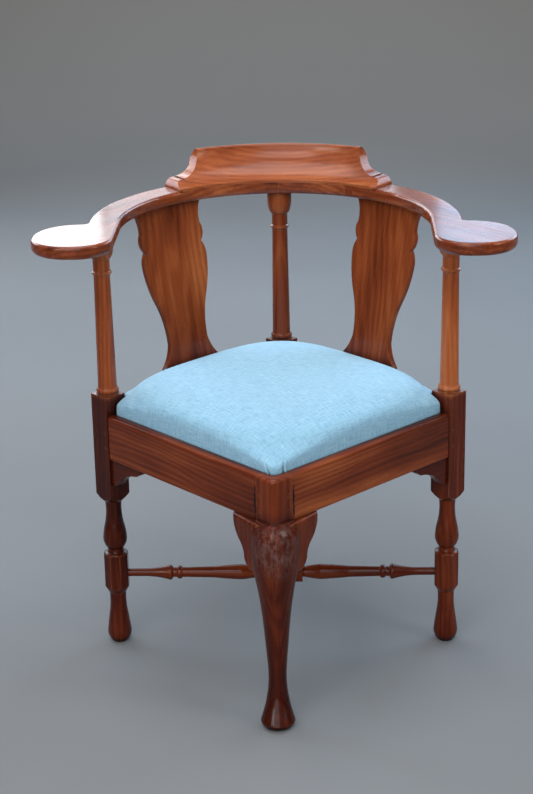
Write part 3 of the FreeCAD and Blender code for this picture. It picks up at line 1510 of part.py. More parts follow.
# Check everything, then write one file for each piece
for item in document.Objects:
    if "Invalid" in item.State or "Error" in item.State:
        raise RuntimeError(f"{item.Label} failed: {item.State}")
pieces = [item for item in document.Objects if item.TypeId in ("PartDesign::Body", "Part::Feature")]
for piece in pieces:
    if piece.Shape.isNull() or not piece.Shape.isValid():
        raise RuntimeError(f"{piece.Label} has no valid shape")
os.makedirs("parts", exist_ok=True)
for piece in pieces:
    piece.Shape.exportStep(f"parts/{piece.Label}.step")
    print(piece.Label, len(piece.Shape.Solids), "solids,", round(piece.Shape.Volume / 1000, 1), "cm3")
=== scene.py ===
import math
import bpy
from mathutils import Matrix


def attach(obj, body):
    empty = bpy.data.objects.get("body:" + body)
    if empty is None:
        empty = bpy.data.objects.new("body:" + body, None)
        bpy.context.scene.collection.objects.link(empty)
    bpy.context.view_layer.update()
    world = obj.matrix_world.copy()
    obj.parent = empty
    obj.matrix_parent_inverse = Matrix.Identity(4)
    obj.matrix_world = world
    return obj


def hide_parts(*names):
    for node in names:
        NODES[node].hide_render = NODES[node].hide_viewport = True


bl_info = {
    "name": "Corner Chair",
    "version": (1, 0, 0),
    "blender": (4, 5, 0),
    "location": "View3D > Sidebar > Corner Chair",
    "description": "Waxed wood, a padded linen seat and a plain studio for a corner chair",
    "category": "Add Mesh",
}

import bpy
import numpy as np
from bpy.props import FloatProperty, FloatVectorProperty, PointerProperty
from bpy.types import Operator, Panel, PropertyGroup
from mathutils import Matrix, Vector

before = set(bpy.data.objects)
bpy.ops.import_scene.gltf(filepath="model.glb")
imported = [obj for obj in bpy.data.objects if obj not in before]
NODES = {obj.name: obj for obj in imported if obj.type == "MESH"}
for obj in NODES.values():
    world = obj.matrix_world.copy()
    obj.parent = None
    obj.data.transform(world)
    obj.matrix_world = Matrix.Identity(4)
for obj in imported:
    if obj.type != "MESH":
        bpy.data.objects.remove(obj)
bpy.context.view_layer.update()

# Sizes that the new pieces share with the solids, in metres
SEAT_TURN = math.radians(45)
RAIL_TOP = 0.427
COVER_REACH = 0.20452
COVER_BOTTOM = 0.4133
HEM_REACH = 0.1731
NOTCH_STEP = 0.18002
NOTCH_ROUNDING = 0.004
SKIN = 0.0012
STUFFING_BOTTOM = 0.4353
STUFFING_INSET = 0.0014
DUST_REACH = 0.17862
DUST_LOW = 0.4125
PLATFORM_REACH = 0.19812
PLATFORM_STEP = 0.17362
PLATFORM_LOW = 0.4345
THIN_CLOTH = 0.0008
WEBBING_REACH = 0.19312
WEBBING_WIDTH = 0.050
WEBBING_PITCH = 0.085
WEBBING_MIDDLE = 0.4335
WEBBING_WAVE = 0.0005
WEBBING_THICKNESS = 0.0009

# Exponents and shares of the crown's section and of its plan's corners, and how far a circle's edge lies inside the
# corner of its square
CROWN_STEEPNESS = 0.33
CROWN_FLATNESS = 1.15
CORNER_BASE, CORNER_GAIN, CORNER_POWER = 0.068, 0.635, 0.53
CORNER_FROM, CORNER_FADE = 0.10, 0.45
FULL_ROUND = 0.2929

# How finely the cover and the stuffing are made, and how far the cover's simulation may move it, in metres
COVER_ROWS = 60
COVER_SIDE = 60
STUFFING_ROWS = 32
STUFFING_SIDE = 32
CLOTH_SIDE = 48
COVER_SWELL = 0.003

# The cover's simulation: its grid, its frames, and the share of the rise from which it is free, with the fade
SIM_ROWS = 26
SIM_SIDE = 24
SIM_FRAMES = 20
SIM_FREE, SIM_FADE = 0.62, 0.3

# Each pleat's foot, its lean, its length and the side on which its ridge lies, and the depth and width of its
# groove, the height, distance and width of its ridge, and the width of its shadow, in metres
PLEATS = ((-0.0070, -0.38, 0.022, -1), (0.0142, 0.02, 0.030, 1))
GROOVE_DEPTH, GROOVE_WIDTH = 0.0011, 0.0012
RIDGE_HEIGHT, RIDGE_AWAY, RIDGE_WIDTH = 0.0020, 0.0030, 0.0018
FOLD_SHADOW = 0.0010

# Open joints beside the front leg: their distance from the chair's middle, how far the chips wander, where they are
# open, and the heights and the depth between which they fade, in metres
JOINT_REACH = 0.0295
JOINT_WANDER = 0.009
JOINT_WIDTH = (-0.0026, -0.0040)
JOINT_HEAD = (0.412, 0.404)
JOINT_FOOT = (0.351, 0.357)
JOINT_FRONT = (-0.20, -0.22)

# The wood's figure: how much each pattern adds, half their sum, how far from it the colours spread, and where on
# the figure the three colours lie
RING_SHARE, STREAK_SHARE, BROAD_SHARE, CLOUD_SHARE = 0.09, 0.34, 0.46, 0.82
FIGURE_MIDDLE, FIGURE_SPREAD = 0.855, 0.34
COLOUR_STOPS = (0.05, 0.5, 0.95)

# Directions of the grain
UP = (0, 0, 1)
SIDEWAYS = (1, 0, 0)
BACKWARDS = (0, 1, 0)
DOWN_LEFT = (-math.sqrt(0.5), -math.sqrt(0.5), 0)
DOWN_RIGHT = (math.sqrt(0.5), -math.sqrt(0.5), 0)

# Grain direction of each wooden piece, its place beside the heart of the tree, tone, contrast and wear, for some
# the heights between which the tone changes and the new tone, and a scuffed place with its reach, where a pale
# painted highlight goes as well. The three leg posts turn paler above their blocks, partly less stained wood and
# partly a painted highlight on the turned columns; the splats turn darker towards the seat, partly dirt and partly
# painted shade from the seat.
WOODEN_PIECES = {
    "seat_rail_front_left": (DOWN_RIGHT, (0.05, 0.11, 0.2), 0.52, 1.3, 1.0),
    "seat_rail_front_right": (DOWN_LEFT, (0.08, 0.06, 0.9), 0.64, 1.3, 1.0),
    "seat_rail_rear_right": (DOWN_RIGHT, (0.12, 0.05, 1.3), 0.35, 1.4, 0.4),
    "seat_rail_rear_left": (DOWN_LEFT, (0.03, 0.09, 2.1), 0.35, 1.4, 0.4),
    "right_leg_post": (UP, (0.26, 0.03, 0.4), 0.24, 1.1, 0.7, (0.45, 0.47, 1.05)),
    "rear_leg_post": (UP, (0.05, 0.25, 1.4), 0.25, 1.2, 0.6, (0.45, 0.47, 0.70)),
    "left_leg_post": (UP, (-0.24, 0.05, 2.2), 0.15, 1.1, 0.7, (0.45, 0.47, 0.95)),
    "front_leg": (UP, (0.04, -0.24, 3.1), 0.07, 1.0, 0.8, (0.35, 0.38, 0.55), (0, -0.33, 0.315, 0.065)),
    "stretcher_side_to_side": (SIDEWAYS, (0.03, 0.02, 0.5), 0.35, 0.8, 0.6),
    "stretcher_front_to_back": (BACKWARDS, (0.02, 0.03, 1.5), 0.30, 0.8, 0.5),
    "knee_bracket_left": (UP, (0.20, 0.02, 4.0), 0.35, 1.3, 0.6),
    "knee_bracket_right": (UP, (0.17, 0.05, 4.4), 0.38, 1.3, 0.6),
    "rail_bracket_left": (DOWN_RIGHT, (0.04, 0.06, 4.9), 0.15, 1.0, 0.5),
    "rail_bracket_right": (DOWN_LEFT, (0.05, 0.05, 5.2), 0.20, 1.0, 0.5),
    "arm_left": ((0.62, 0.78, 0), (0.09, 0.04, 6.0), 0.78, 1.3, 0.9),
    "arm_right": ((-0.62, 0.78, 0), (0.02, 0.10, 6.6), 0.70, 1.4, 0.9),
    "splat_left": ((0.14, -0.14, -0.98), (0.20, 0.12, 7.1), 0.33, 1.15, 0.4, (0.42, 0.66, 0.88)),
    "splat_right": ((-0.14, -0.14, -0.98), (-0.22, 0.14, 7.7), 0.33, 1.15, 0.4, (0.42, 0.66, 0.82)),
    "crest_rail": (SIDEWAYS, (0.10, 0.30, 8.3), 0.98, 1.0, 0.8),
}
PLUGS_AND_PINS = (UP, (0.02, 0.01, 9), 0.50, 1.0, 0.3)
OPEN_JOINTED = ("front_leg", "seat_rail_front_left", "seat_rail_front_right")

# Weight and roughness of the polish: of most pieces, and of those that hands keep bright
POLISH = (0.22, 0.10)
BRIGHTER = {"arm_left": (0.50, 0.10), "arm_right": (0.50, 0.10), "crest_rail": (0.42, 0.18)}

# Dark, middle and pale threads of the hidden cloths
BLACK_THREADS = ((0.010, 0.010, 0.011), (0.022, 0.022, 0.023), (0.045, 0.044, 0.043))
CALICO_THREADS = ((0.42, 0.36, 0.26), (0.62, 0.55, 0.42), (0.74, 0.68, 0.56))
JUTE_THREADS = ((0.22, 0.15, 0.08), (0.40, 0.29, 0.17), (0.55, 0.43, 0.28))

# Each lamp's name, place, aim, size in metres, power in watts and colour
LAMPS = (
    ("top_lamp", (-0.2, 0.1, 3.3), (0, 0, 0.4), (2.0, 2.0), 48, (1.0, 0.99, 0.97)),
    ("sky_lamp", (-0.4, -2.9, 3.2), (0, 0, 0.4), (2.2, 1.5), 44, (0.93, 0.96, 1.0)),
    ("front_panel", (-0.6, -3.6, 1.3), (0, 0, 0.4), (2.6, 1.8), 34, (0.90, 0.95, 1.0)),
    ("front_lamp", (-1.9, -2.8, 1.7), (0, 0, 0.4), (0.9, 1.2), 24, (1.0, 0.93, 0.84)),
    ("side_lamp", (2.6, -1.4, 1.7), (0, 0, 0.4), (0.9, 1.2), 22, (1.0, 0.93, 0.84)),
    ("left_window", (-1.30, 2.7, 1.65), (-0.3, 0, 0.7), (1.4, 1.3), 30, (0.88, 0.94, 1.0)),
    ("middle_window", (-0.15, 2.7, 1.65), (0, 0, 0.7), (0.9, 1.3), 8, (0.80, 0.90, 1.0)),
    ("right_window", (1.35, 2.7, 1.60), (0.3, 0, 0.7), (1.95, 1.2), 25, (0.46, 0.72, 1.0)),
    ("left_sky", (-2.25, 1.75, 1.9), (-0.15, 0.26, 0.79), (1.7, 1.3), 44, (0.74, 0.86, 1.0)),
    ("right_sky", (2.1, 1.9, 2.1), (0.15, 0.26, 0.79), (2.0, 1.3), 54, (0.60, 0.80, 1.0)),
)

# The sweep's sizes in metres, where it turns paler behind the chair and by how much, the air's colours at two
# heights of the sky, and how far the camera sees
SWEEP_RADIUS, SWEEP_BACK, SWEEP_HALF, SWEEP_FRONT, SWEEP_TOP = 2.0, 5.0, 16.0, -14.0, 7.0
BACKDROP_FROM, BACKDROP_TO = 2.6, 4.6
BACKDROP_GAIN = (1.68, 1.55, 1.40)
FLOOR_CLOUD = 0.9
AIR = ((0.15, (0.07, 0.072, 0.075)), (0.9, (0.5, 0.55, 0.62)))
VIEW_DEPTH = 60.0

STEPS = ("wood", "hidden", "cover", "stuffing", "cloths", "webbing", "stage")


# Settings

def colour_property(name, description, default):
    """A colour that the user can change."""
    return FloatVectorProperty(name=name, description=description, default=default, subtype="COLOR", size=3,
                               min=0.0, max=1.0)


def length_property(name, description, default):
    """A length in metres that the user can change."""
    return FloatProperty(name=name, description=description, default=default, unit="LENGTH", min=0.0)


class WoodSettings(PropertyGroup):
    """Colours and growth rings of the wood."""
    dark_grain: colour_property("Dark grain", "Darkest streaks of the darkest piece", (0.01224, 0.001548, 0.000528))
    dark_body: colour_property("Dark body", "Main colour of the darkest piece", (0.051, 0.00559, 0.001452))
    dark_figure: colour_property("Dark figure", "Palest streaks of the darkest piece", (0.1275, 0.01978, 0.00462))
    pale_grain: colour_property("Pale grain", "Darkest streaks of the palest piece", (0.1400, 0.0260, 0.0075))
    pale_body: colour_property("Pale body", "Main colour of the palest piece", (0.3300, 0.0800, 0.0230))
    pale_figure: colour_property("Pale figure", "Palest streaks of the palest piece", (0.5200, 0.1750, 0.0560))
    rubbed: colour_property("Rubbed edge", "Edges worn pale by hands and cloths", (0.4600, 0.1700, 0.0600))
    # Near black for corners and turnings, partly old wax and partly painted shade; also the colour of the open joints
    grime_and_shade: colour_property("Grime", "Old wax in corners and turnings", (0.0080, 0.0022, 0.0012))
    # Pale grey round the knee: partly dull, scratched wax and partly a painted highlight
    scuff_and_sheen_colour: colour_property("Scuffed wax", "Scratched places that have lost their shine", (0.290, 0.215, 0.200))
    ring_width: length_property("Ring width", "Between two growth rings", 0.0085)


class ClothSettings(PropertyGroup):
    """Threads of the linen, and how high the seat is padded."""
    thread: colour_property("Thread", "Main thread of the seat's linen", (0.285, 0.520, 0.675))
    pale_thread: colour_property("Pale thread", "Palest threads of the seat's linen", (0.425, 0.670, 0.795))
    dark_thread: colour_property("Dark thread", "Darkest threads of the seat's linen", (0.120, 0.310, 0.490))
    pitch: length_property("Thread pitch", "Between two threads of the linen", 0.0019)
    crown: length_property("Crown", "Top of the padded seat above the rails", 0.067)


class StageSettings(PropertyGroup):
    """The studio's floor and camera."""
    floor: colour_property("Floor", "Colour of floor and backdrop", (0.188, 0.190, 0.193))
    camera_place: FloatVectorProperty(name="Camera", description="Where the camera stands",
                                      default=(0.0861, -2.8911, 1.5113), subtype="TRANSLATION", unit="LENGTH", size=3)
    yaw: FloatProperty(name="Yaw", description="Camera turned to the right", default=math.radians(-2.085),
                       subtype="ANGLE")
    pitch: FloatProperty(name="Pitch", description="Camera turned down", default=math.radians(20.15), subtype="ANGLE")
    roll: FloatProperty(name="Roll", description="Camera rolled", default=math.radians(-1.151), subtype="ANGLE")
    lens: FloatProperty(name="Lens", description="Focal length in millimetres", default=83.88, min=1.0)


# Materials

class Finish:
    """One material, put together node by node."""

    def __init__(self, name):
        self.material = bpy.data.materials.new(name)
        self.material.use_nodes = True
        self.tree = self.material.node_tree
        self.tree.nodes.clear()
        self.output = self.add("ShaderNodeOutputMaterial")
        self.object_place = self.add("ShaderNodeTexCoord").outputs["Object"]

    def add(self, kind, inputs=None, **settings):
        """A node with its settings, and its inputs given as values or as sockets of other nodes."""
        node = self.tree.nodes.new(kind)
        for key, value in settings.items():
            setattr(node, key, value)
        for key, value in (inputs or {}).items():
            if isinstance(value, bpy.types.NodeSocket):
                self.tree.links.new(value, node.inputs[key])
            else:
                node.inputs[key].default_value = value
        return node

    def mapped(self, source, location=(0, 0, 0), rotation=(0, 0, 0), scale=(1, 1, 1)):
        """The source's places, scaled, turned and then moved."""
        return self.add("ShaderNodeMapping", {"Vector": source, "Location": location, "Rotation": rotation,
                                              "Scale": scale}).outputs[0]

    def coordinates(self):
        """The place on the object as three single values."""
        return self.add("ShaderNodeSeparateXYZ", {0: self.object_place}).outputs

    def noise(self, place, scale, detail=2.0, roughness=0.5, distortion=0.0):
        """A cloudy pattern from 0 to 1."""
        return self.add("ShaderNodeTexNoise", {"Vector": place, "Scale": scale, "Detail": detail,
                                               "Roughness": roughness, "Distortion": distortion}).outputs[0]

    def math(self, operation, first, second=0.0, third=0.0):
        """Arithmetic on single values."""
        return self.add("ShaderNodeMath", {0: first, 1: second, 2: third}, operation=operation).outputs[0]

    def ranged(self, value, low, high, new_low=0.0, new_high=1.0, smooth=True):
        """A value carried from one range to another, held at its ends."""
        return self.add("ShaderNodeMapRange", {"Value": value, "From Min": low, "From Max": high,
                                               "To Min": new_low, "To Max": new_high},
                        interpolation_type="SMOOTHSTEP" if smooth else "LINEAR").outputs[0]

    def mixed(self, share, first, second):
        """Two colours mixed by a share."""
        first, second = (value if isinstance(value, bpy.types.NodeSocket) else (*value, 1.0)
                         for value in (first, second))
        return self.add("ShaderNodeMix", {0: share, 6: first, 7: second}, data_type="RGBA",
                        clamp_factor=True).outputs[2]

    def ramp(self, value, places, colours):
        """A colour ramp with a colour at each place."""
        node = self.add("ShaderNodeValToRGB", {"Fac": value})
        elements = node.color_ramp.elements
        while len(elements) < len(places):
            elements.new(0.5)
        for element, place, colour in zip(elements, places, colours):
            element.position = place
            element.color = (*colour, 1.0)
        return node.outputs[0]

    def shelter(self, reach):
        """How open a place is to the air around it, from 0 in a corner to 1."""
        return self.add("ShaderNodeAmbientOcclusion", {"Distance": reach}, samples=6).outputs["AO"]

    def bump(self, height, strength, distance, **others):
        """The normal of a surface with small heights on it."""
        return self.add("ShaderNodeBump", {"Strength": strength, "Distance": distance, "Height": height,
                                           **others}).outputs[0]

    def shaded(self, **inputs):
        """The surface shader, with spaces of its socket names written as underscores."""
        shader = self.add("ShaderNodeBsdfPrincipled", {key.replace("_", " "): value for key, value in inputs.items()})
        self.tree.links.new(shader.outputs[0], self.output.inputs[0])
        return self.material


def toned(settings, tone):
    """Grain, body and figure colours of a piece: dark ^ (1 - tone) * pale ^ tone."""
    return [tuple(dark ** (1 - tone) * pale ** tone for dark, pale in zip(getattr(settings, "dark_" + part),
                                                                         getattr(settings, "pale_" + part)))
            for part in ("grain", "body", "figure")]


def wood_figure(finish, along, ring_width, contrast):
    """The wood's figure from dark to pale, and the streaks, veins and pores in it.

    Growth rings are cylinders round a slightly wandering line beside the piece: ring = sine of the distance from
    that line over the ring width. Streaks, veins and pores are noise drawn out along the grain.
    """
    wander = finish.noise(finish.mapped(along, scale=(9, 9, 2.2)), 1.0, detail=3)
    distance = finish.add("ShaderNodeVectorMath", {0: finish.mapped(along, scale=(1, 1, 0.06))},
                          operation="LENGTH").outputs["Value"]
    distance = finish.math("ADD", distance, finish.math("MULTIPLY", wander, 0.06))
    phase = finish.math("MULTIPLY", distance, 2 * math.pi / ring_width)
    rings = finish.ranged(finish.math("SINE", phase), -1.0, 1.0)
    streak = finish.noise(finish.mapped(along, scale=(210, 210, 4)), 1.0, detail=5, roughness=0.6, distortion=0.3)
    broad = finish.noise(finish.mapped(along, scale=(38, 38, 1.8)), 1.0, detail=3, roughness=0.5, distortion=0.5)
    cloud = finish.noise(finish.mapped(along, scale=(8, 8, 4)), 1.0, detail=2)
    vein = finish.noise(finish.mapped(along, location=(3, 1, 0), scale=(120, 120, 1.5)), 1.0, detail=4, roughness=0.6)
    pore = finish.noise(finish.mapped(along, scale=(1500, 1500, 60)), 1.0, detail=2)

    figure = finish.math("MULTIPLY_ADD", rings, RING_SHARE, finish.math("MULTIPLY", streak, STREAK_SHARE))
    figure = finish.math("ADD", figure, finish.math("MULTIPLY_ADD", broad, BROAD_SHARE,
                                                    finish.math("MULTIPLY", cloud, CLOUD_SHARE)))
    spread_out = FIGURE_SPREAD / contrast
    figure = finish.ranged(figure, FIGURE_MIDDLE - spread_out, FIGURE_MIDDLE + spread_out, smooth=False)
    return figure, streak, finish.ranged(vein, 0.60, 0.72, 0.0, 0.55), finish.ranged(pore, 0.60, 0.72)


def open_joints(finish):
    """Black chips along the front leg's joints with the rails, where | |x| - JOINT_REACH | is small."""
    x, y, z = finish.coordinates()[:3]
    ragged = finish.noise(finish.mapped(finish.object_place, scale=(160, 160, 55)), 1.0, detail=5, roughness=0.7)
    off = finish.math("ABSOLUTE", finish.math("SUBTRACT", finish.math("ABSOLUTE", x), JOINT_REACH))
    chip = finish.ranged(finish.math("MULTIPLY_ADD", ragged, -JOINT_WANDER, off), *JOINT_WIDTH)
    for place, ends in ((z, JOINT_HEAD), (z, JOINT_FOOT), (y, JOINT_FRONT)):
        chip = finish.math("MULTIPLY", chip, finish.ranged(place, *ends))
    return finish.math("MULTIPLY", chip, 0.95)


def scratches_and_sheen(finish, along, place, reach):
    """Where the wax is scratched and dull, and where a pale painted highlight goes: noise that fades out at a reach
    from a place.
    """
    away = finish.add("ShaderNodeVectorMath", {0: finish.object_place, 1: place}, operation="DISTANCE")
    scratch = finish.noise(finish.mapped(along, scale=(150, 150, 70)), 1.0, detail=6, roughness=0.75)
    return finish.math("MULTIPLY", finish.ranged(away.outputs["Value"], reach, 0.2 * reach),
                       finish.ranged(scratch, 0.38, 0.66))


def waxed_wood(name, settings, grain, heart, tone, contrast, worn, upper=None, scuff_and_sheen=None, gaps=False, coat=POLISH):
    """Old waxed hardwood, its pattern laid along one direction of the piece.

    A rounded copy of the normal shows where edges are, and ambient occlusion shows where wax and dust stay; the near
    black laid there is partly old wax and partly painted shade. Where upper is given as (from, to, tone), the piece
    changes to that tone between these heights. Where a scuffed place and its reach are given, the wax is scratched and
    dull round that place and painted pale there, partly worn wax and partly a painted highlight. Gaps are the open
    joints beside the front leg. Coat is the polish on top, its weight and roughness.
    """
    finish = Finish(name)
    turn = Vector(grain).rotation_difference(Vector(UP)).to_euler()
    along = finish.mapped(finish.object_place, location=heart, rotation=turn)
    figure, streak, vein, pores = wood_figure(finish, along, settings.ring_width, contrast)
    colours = toned(settings, tone)
    colour = finish.ramp(figure, COLOUR_STOPS, colours)
    # The tone that changes with height is partly painted light: a painted highlight on the leg posts' turned columns,
    # painted shade at the foot of the splats
    if upper:
        bottom, top, upper_tone = upper
        colour = finish.mixed(finish.ranged(finish.coordinates()[2], bottom, top), colour,
                              finish.ramp(figure, COLOUR_STOPS, toned(settings, upper_tone)))
    colour = finish.mixed(vein, colour, colours[0])
    colour = finish.mixed(finish.math("MULTIPLY", pores, 0.35), colour, colours[0])

    rounded = finish.add("ShaderNodeBevel", {"Radius": 0.0020}, samples=4).outputs[0]
    flat = finish.add("ShaderNodeNewGeometry").outputs["Normal"]
    facing = finish.add("ShaderNodeVectorMath", {0: rounded, 1: flat}, operation="DOT_PRODUCT").outputs["Value"]
    edge = finish.ranged(facing, 0.985, 0.90)
    shelter = finish.shelter(0.022)
    patch = finish.noise(finish.mapped(along, scale=(26, 26, 14)), 1.0, detail=4, roughness=0.7)
    wear = finish.math("MULTIPLY", finish.math("MULTIPLY", edge, finish.ranged(patch, 0.35, 0.7)),
                       finish.ranged(shelter, 0.55, 0.95, 0.0, worn))
    colour = finish.mixed(wear, colour, settings.rubbed[:])
    # Painted shade, partly old wax: the corners and turnings that ambient occlusion finds go nearly black
    grime_and_shade = finish.math("MULTIPLY", finish.ranged(shelter, 0.85, 0.30), finish.ranged(patch, 0.2, 0.8, 0.75, 1.0))
    colour = finish.mixed(finish.math("MULTIPLY", grime_and_shade, 0.9), colour, settings.grime_and_shade[:])
    if gaps:
        colour = finish.mixed(open_joints(finish), colour, settings.grime_and_shade[:])

    smear = finish.noise(finish.mapped(along, scale=(18, 18, 7)), 1.0, detail=4, roughness=0.6)
    roughness = finish.ranged(smear, 0.3, 0.75, 0.20, 0.36)
    roughness = finish.math("ADD", roughness, finish.math("MULTIPLY", grime_and_shade, 0.25))
    if scuff_and_sheen:
        # Painted highlight, partly scratched wax: the colour goes pale round the knee, while the added roughness is
        # the real dullness
        scuff_and_sheen_share = scratches_and_sheen(finish, along, scuff_and_sheen[:3], scuff_and_sheen[3])
        colour = finish.mixed(finish.math("MULTIPLY", scuff_and_sheen_share, 0.27), colour, settings.scuff_and_sheen_colour[:])
        roughness = finish.math("MULTIPLY_ADD", scuff_and_sheen_share, 0.15, roughness)
    height = finish.math("MULTIPLY_ADD", streak, 0.5, finish.math("MULTIPLY", pores, -0.5))
    dents = finish.noise(finish.mapped(along, scale=(60, 60, 25)), 1.0, detail=2)
    height = finish.math("MULTIPLY_ADD", dents, 1.2, height)
    return finish.shaded(Base_Color=colour, Roughness=roughness,
                         Normal=finish.bump(height, 0.20, 0.0006, Normal=rounded), Specular_IOR_Level=0.10,
                         Coat_Weight=coat[0], Coat_Roughness=coat[1])


def bare_wood():
    """Unfinished pale wood of the seat's frame, drawn out along the rails."""
    finish = Finish("pale_frame_wood")
    place = finish.mapped(finish.object_place, rotation=(0, 0, SEAT_TURN))
    streak = finish.noise(finish.mapped(place, scale=(40, 40, 240)), 1.0, detail=5, roughness=0.65)
    cloud = finish.noise(place, 14.0, detail=3)
    share = finish.math("MULTIPLY_ADD", streak, 0.7, finish.math("MULTIPLY", cloud, 0.4))
    colour = finish.ramp(share, (0.25, 0.55, 0.8), ((0.24, 0.13, 0.06), (0.42, 0.26, 0.13), (0.56, 0.39, 0.22)))
    return finish.shaded(Base_Color=colour, Roughness=finish.ranged(streak, 0.2, 0.8, 0.55, 0.8),
                         Normal=finish.bump(streak, 0.4, 0.0006))


def old_steel():
    """Dull screw steel with a little rust."""
    finish = Finish("screw_steel")
    rust = finish.noise(finish.object_place, 420.0, detail=5, roughness=0.7)
    share = finish.ranged(rust, 0.48, 0.66)
    colour = finish.mixed(share, (0.32, 0.30, 0.28), (0.16, 0.06, 0.025))
    return finish.shaded(Base_Color=colour, Metallic=finish.math("SUBTRACT", 1.0, share),
                         Roughness=finish.ranged(rust, 0.3, 0.7, 0.35, 0.8), Normal=finish.bump(rust, 0.5, 0.0004))


def raw_cotton():
    """Loose fibres of the stuffing."""
    finish = Finish("raw_cotton")
    fluff = finish.noise(finish.object_place, 160.0, detail=6, roughness=0.75, distortion=1.5)
    colour = finish.ramp(fluff, (0.3, 0.55, 0.8), ((0.50, 0.45, 0.36), (0.68, 0.63, 0.53), (0.78, 0.74, 0.66)))
    return finish.shaded(Base_Color=colour, Roughness=0.95, Normal=finish.bump(fluff, 0.8, 0.002), Sheen_Weight=0.3)


def woven(name, pitch, colours, slub, sheen):
    """A plain weave on the piece's own UV map, which is in metres.

    Warp and weft are two trains of waves that pass over and under each other: the warp shows where the product of
    their two sines is positive. Noise drawn out along each thread gives the thick and thin places of linen. Painted
    shade darkens the low places between the threads, the corners that ambient occlusion finds, and the folds that the
    mesh carries as an attribute.
    """
    finish = Finish(name)
    place = finish.add("ShaderNodeUVMap", uv_map="cloth").outputs[0]
    sway = finish.add("ShaderNodeTexNoise", {"Vector": place, "Scale": 120.0, "Detail": 2.0}).outputs["Color"]
    sway = finish.add("ShaderNodeVectorMath", {0: sway, 1: (0.5, 0.5, 0.5)}, operation="SUBTRACT").outputs[0]
    sway = finish.add("ShaderNodeVectorMath", {0: sway, "Scale": pitch * 0.9}, operation="SCALE").outputs[0]
    bent = finish.add("ShaderNodeVectorMath", {0: place, 1: sway}, operation="ADD").outputs[0]
    parts = finish.add("ShaderNodeSeparateXYZ", {0: bent})
    step = math.pi / pitch
    across = finish.math("SINE", finish.math("MULTIPLY", parts.outputs[0], step))
    along = finish.math("SINE", finish.math("MULTIPLY", parts.outputs[1], step))
    warp_shows = finish.ranged(finish.math("MULTIPLY", across, along), -0.25, 0.25)
    weft_shows = finish.math("SUBTRACT", 1.0, warp_shows)
    warp_slub = finish.noise(finish.mapped(bent, scale=(1.0 / pitch, 45, 1)), 1.0, detail=3, roughness=0.7)
    weft_slub = finish.noise(finish.mapped(bent, scale=(45, 1.0 / pitch, 1), location=(7, 3, 0)), 1.0, detail=3,
                             roughness=0.7)
    stops = (0.30, 0.50, 0.70)
    colour = finish.mixed(warp_shows, finish.ramp(weft_slub, stops, colours), finish.ramp(warp_slub, stops, colours))
    dark, middle = colours[:2]
    cloud = finish.noise(place, 9.0, detail=3)
    colour = finish.mixed(finish.ranged(cloud, 0.3, 0.7, 0.0, 0.18), colour, middle)
    height = finish.math("ADD", finish.math("MULTIPLY", finish.math("ABSOLUTE", across), warp_shows),
                         finish.math("MULTIPLY", finish.math("ABSOLUTE", along), weft_shows))
    height = finish.math("MULTIPLY_ADD", finish.math("ADD", warp_slub, weft_slub), slub, height)
    # Painted shade in the low places between the threads
    thread_gap_shade = finish.ranged(height, 0.35, 0.95)
    colour = finish.mixed(finish.math("MULTIPLY", finish.math("SUBTRACT", 1.0, thread_gap_shade), 0.5), colour,
                          tuple(value * 0.45 for value in dark))
    # Painted shade: corners found by ambient occlusion and the painted shadow of the cover's folds go towards a
    # near-black thread colour
    fold_shadow = finish.add("ShaderNodeAttribute", attribute_name="fold_shade").outputs["Fac"]
    shelter = finish.math("SUBTRACT", finish.shelter(0.005), finish.math("MULTIPLY", fold_shadow, 0.5))
    colour = finish.mixed(finish.ranged(shelter, 0.80, 0.35), colour, tuple(value * 0.12 for value in dark))
    return finish.shaded(Base_Color=colour, Roughness=0.88, Normal=finish.bump(height, 0.7, pitch * 0.35),
                         Sheen_Weight=sheen, Sheen_Roughness=0.45, Specular_IOR_Level=0.25)


# Objects and meshes

def set_material(item, material):
    """The material in every slot of an object."""
    if not item.data.materials:
        item.data.materials.append(material)
    for index in range(len(item.data.materials)):
        item.data.materials[index] = material


def new_piece(name, mesh, material, node):
    """An object that rides on the slip seat and stands for one of its CAD nodes."""
    item = bpy.data.objects.new(name, mesh)
    bpy.context.scene.collection.objects.link(item)
    mesh.materials.append(material)
    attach(item, "slip_seat")
    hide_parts(node)
    return item


def thickened(item, thickness, offset):
    """Give a cloth its thickness: inwards at an offset of -1 and outwards at 1."""
    skin = item.modifiers.new("thickness", "SOLIDIFY")
    skin.thickness = thickness
    skin.offset = offset


def smooth_mesh(name, points, faces):
    """A smoothly shaded mesh from an array of points and lists of the points of each face."""
    mesh = bpy.data.meshes.new(name)
    mesh.from_pydata(points.tolist(), [], faces)
    mesh.polygons.foreach_set("use_smooth", [True] * len(mesh.polygons))
    return mesh


def grid_faces(index):
    """Faces between neighbours on a grid of point numbers."""
    return np.stack([index[:-1, :-1], index[1:, :-1], index[1:, 1:], index[:-1, 1:]], axis=-1)


def closed_rows_mesh(name, rows, top, bottom=None):
    """A mesh of closed rows of points, with one point at the top and, where given, one at the bottom."""
    count, width = rows.shape[:2]
    points = [rows.reshape(-1, 3), np.asarray(top)[None, :]]
    index = np.arange(count * width).reshape(count, width)
    after = np.roll(index, -1, axis=1)
    quads = np.stack([index[:-1], after[:-1], after[1:], index[1:]], axis=-1).reshape(-1, 4)
    fans = [np.stack([index[-1], after[-1], np.full(width, count * width)], axis=-1)]
    if bottom is not None:
        points.append(np.asarray(bottom)[None, :])
        fans.append(np.stack([after[0], index[0], np.full(width, count * width + 1)], axis=-1))
    return smooth_mesh(name, np.concatenate(points), quads.tolist() + np.concatenate(fans).tolist())


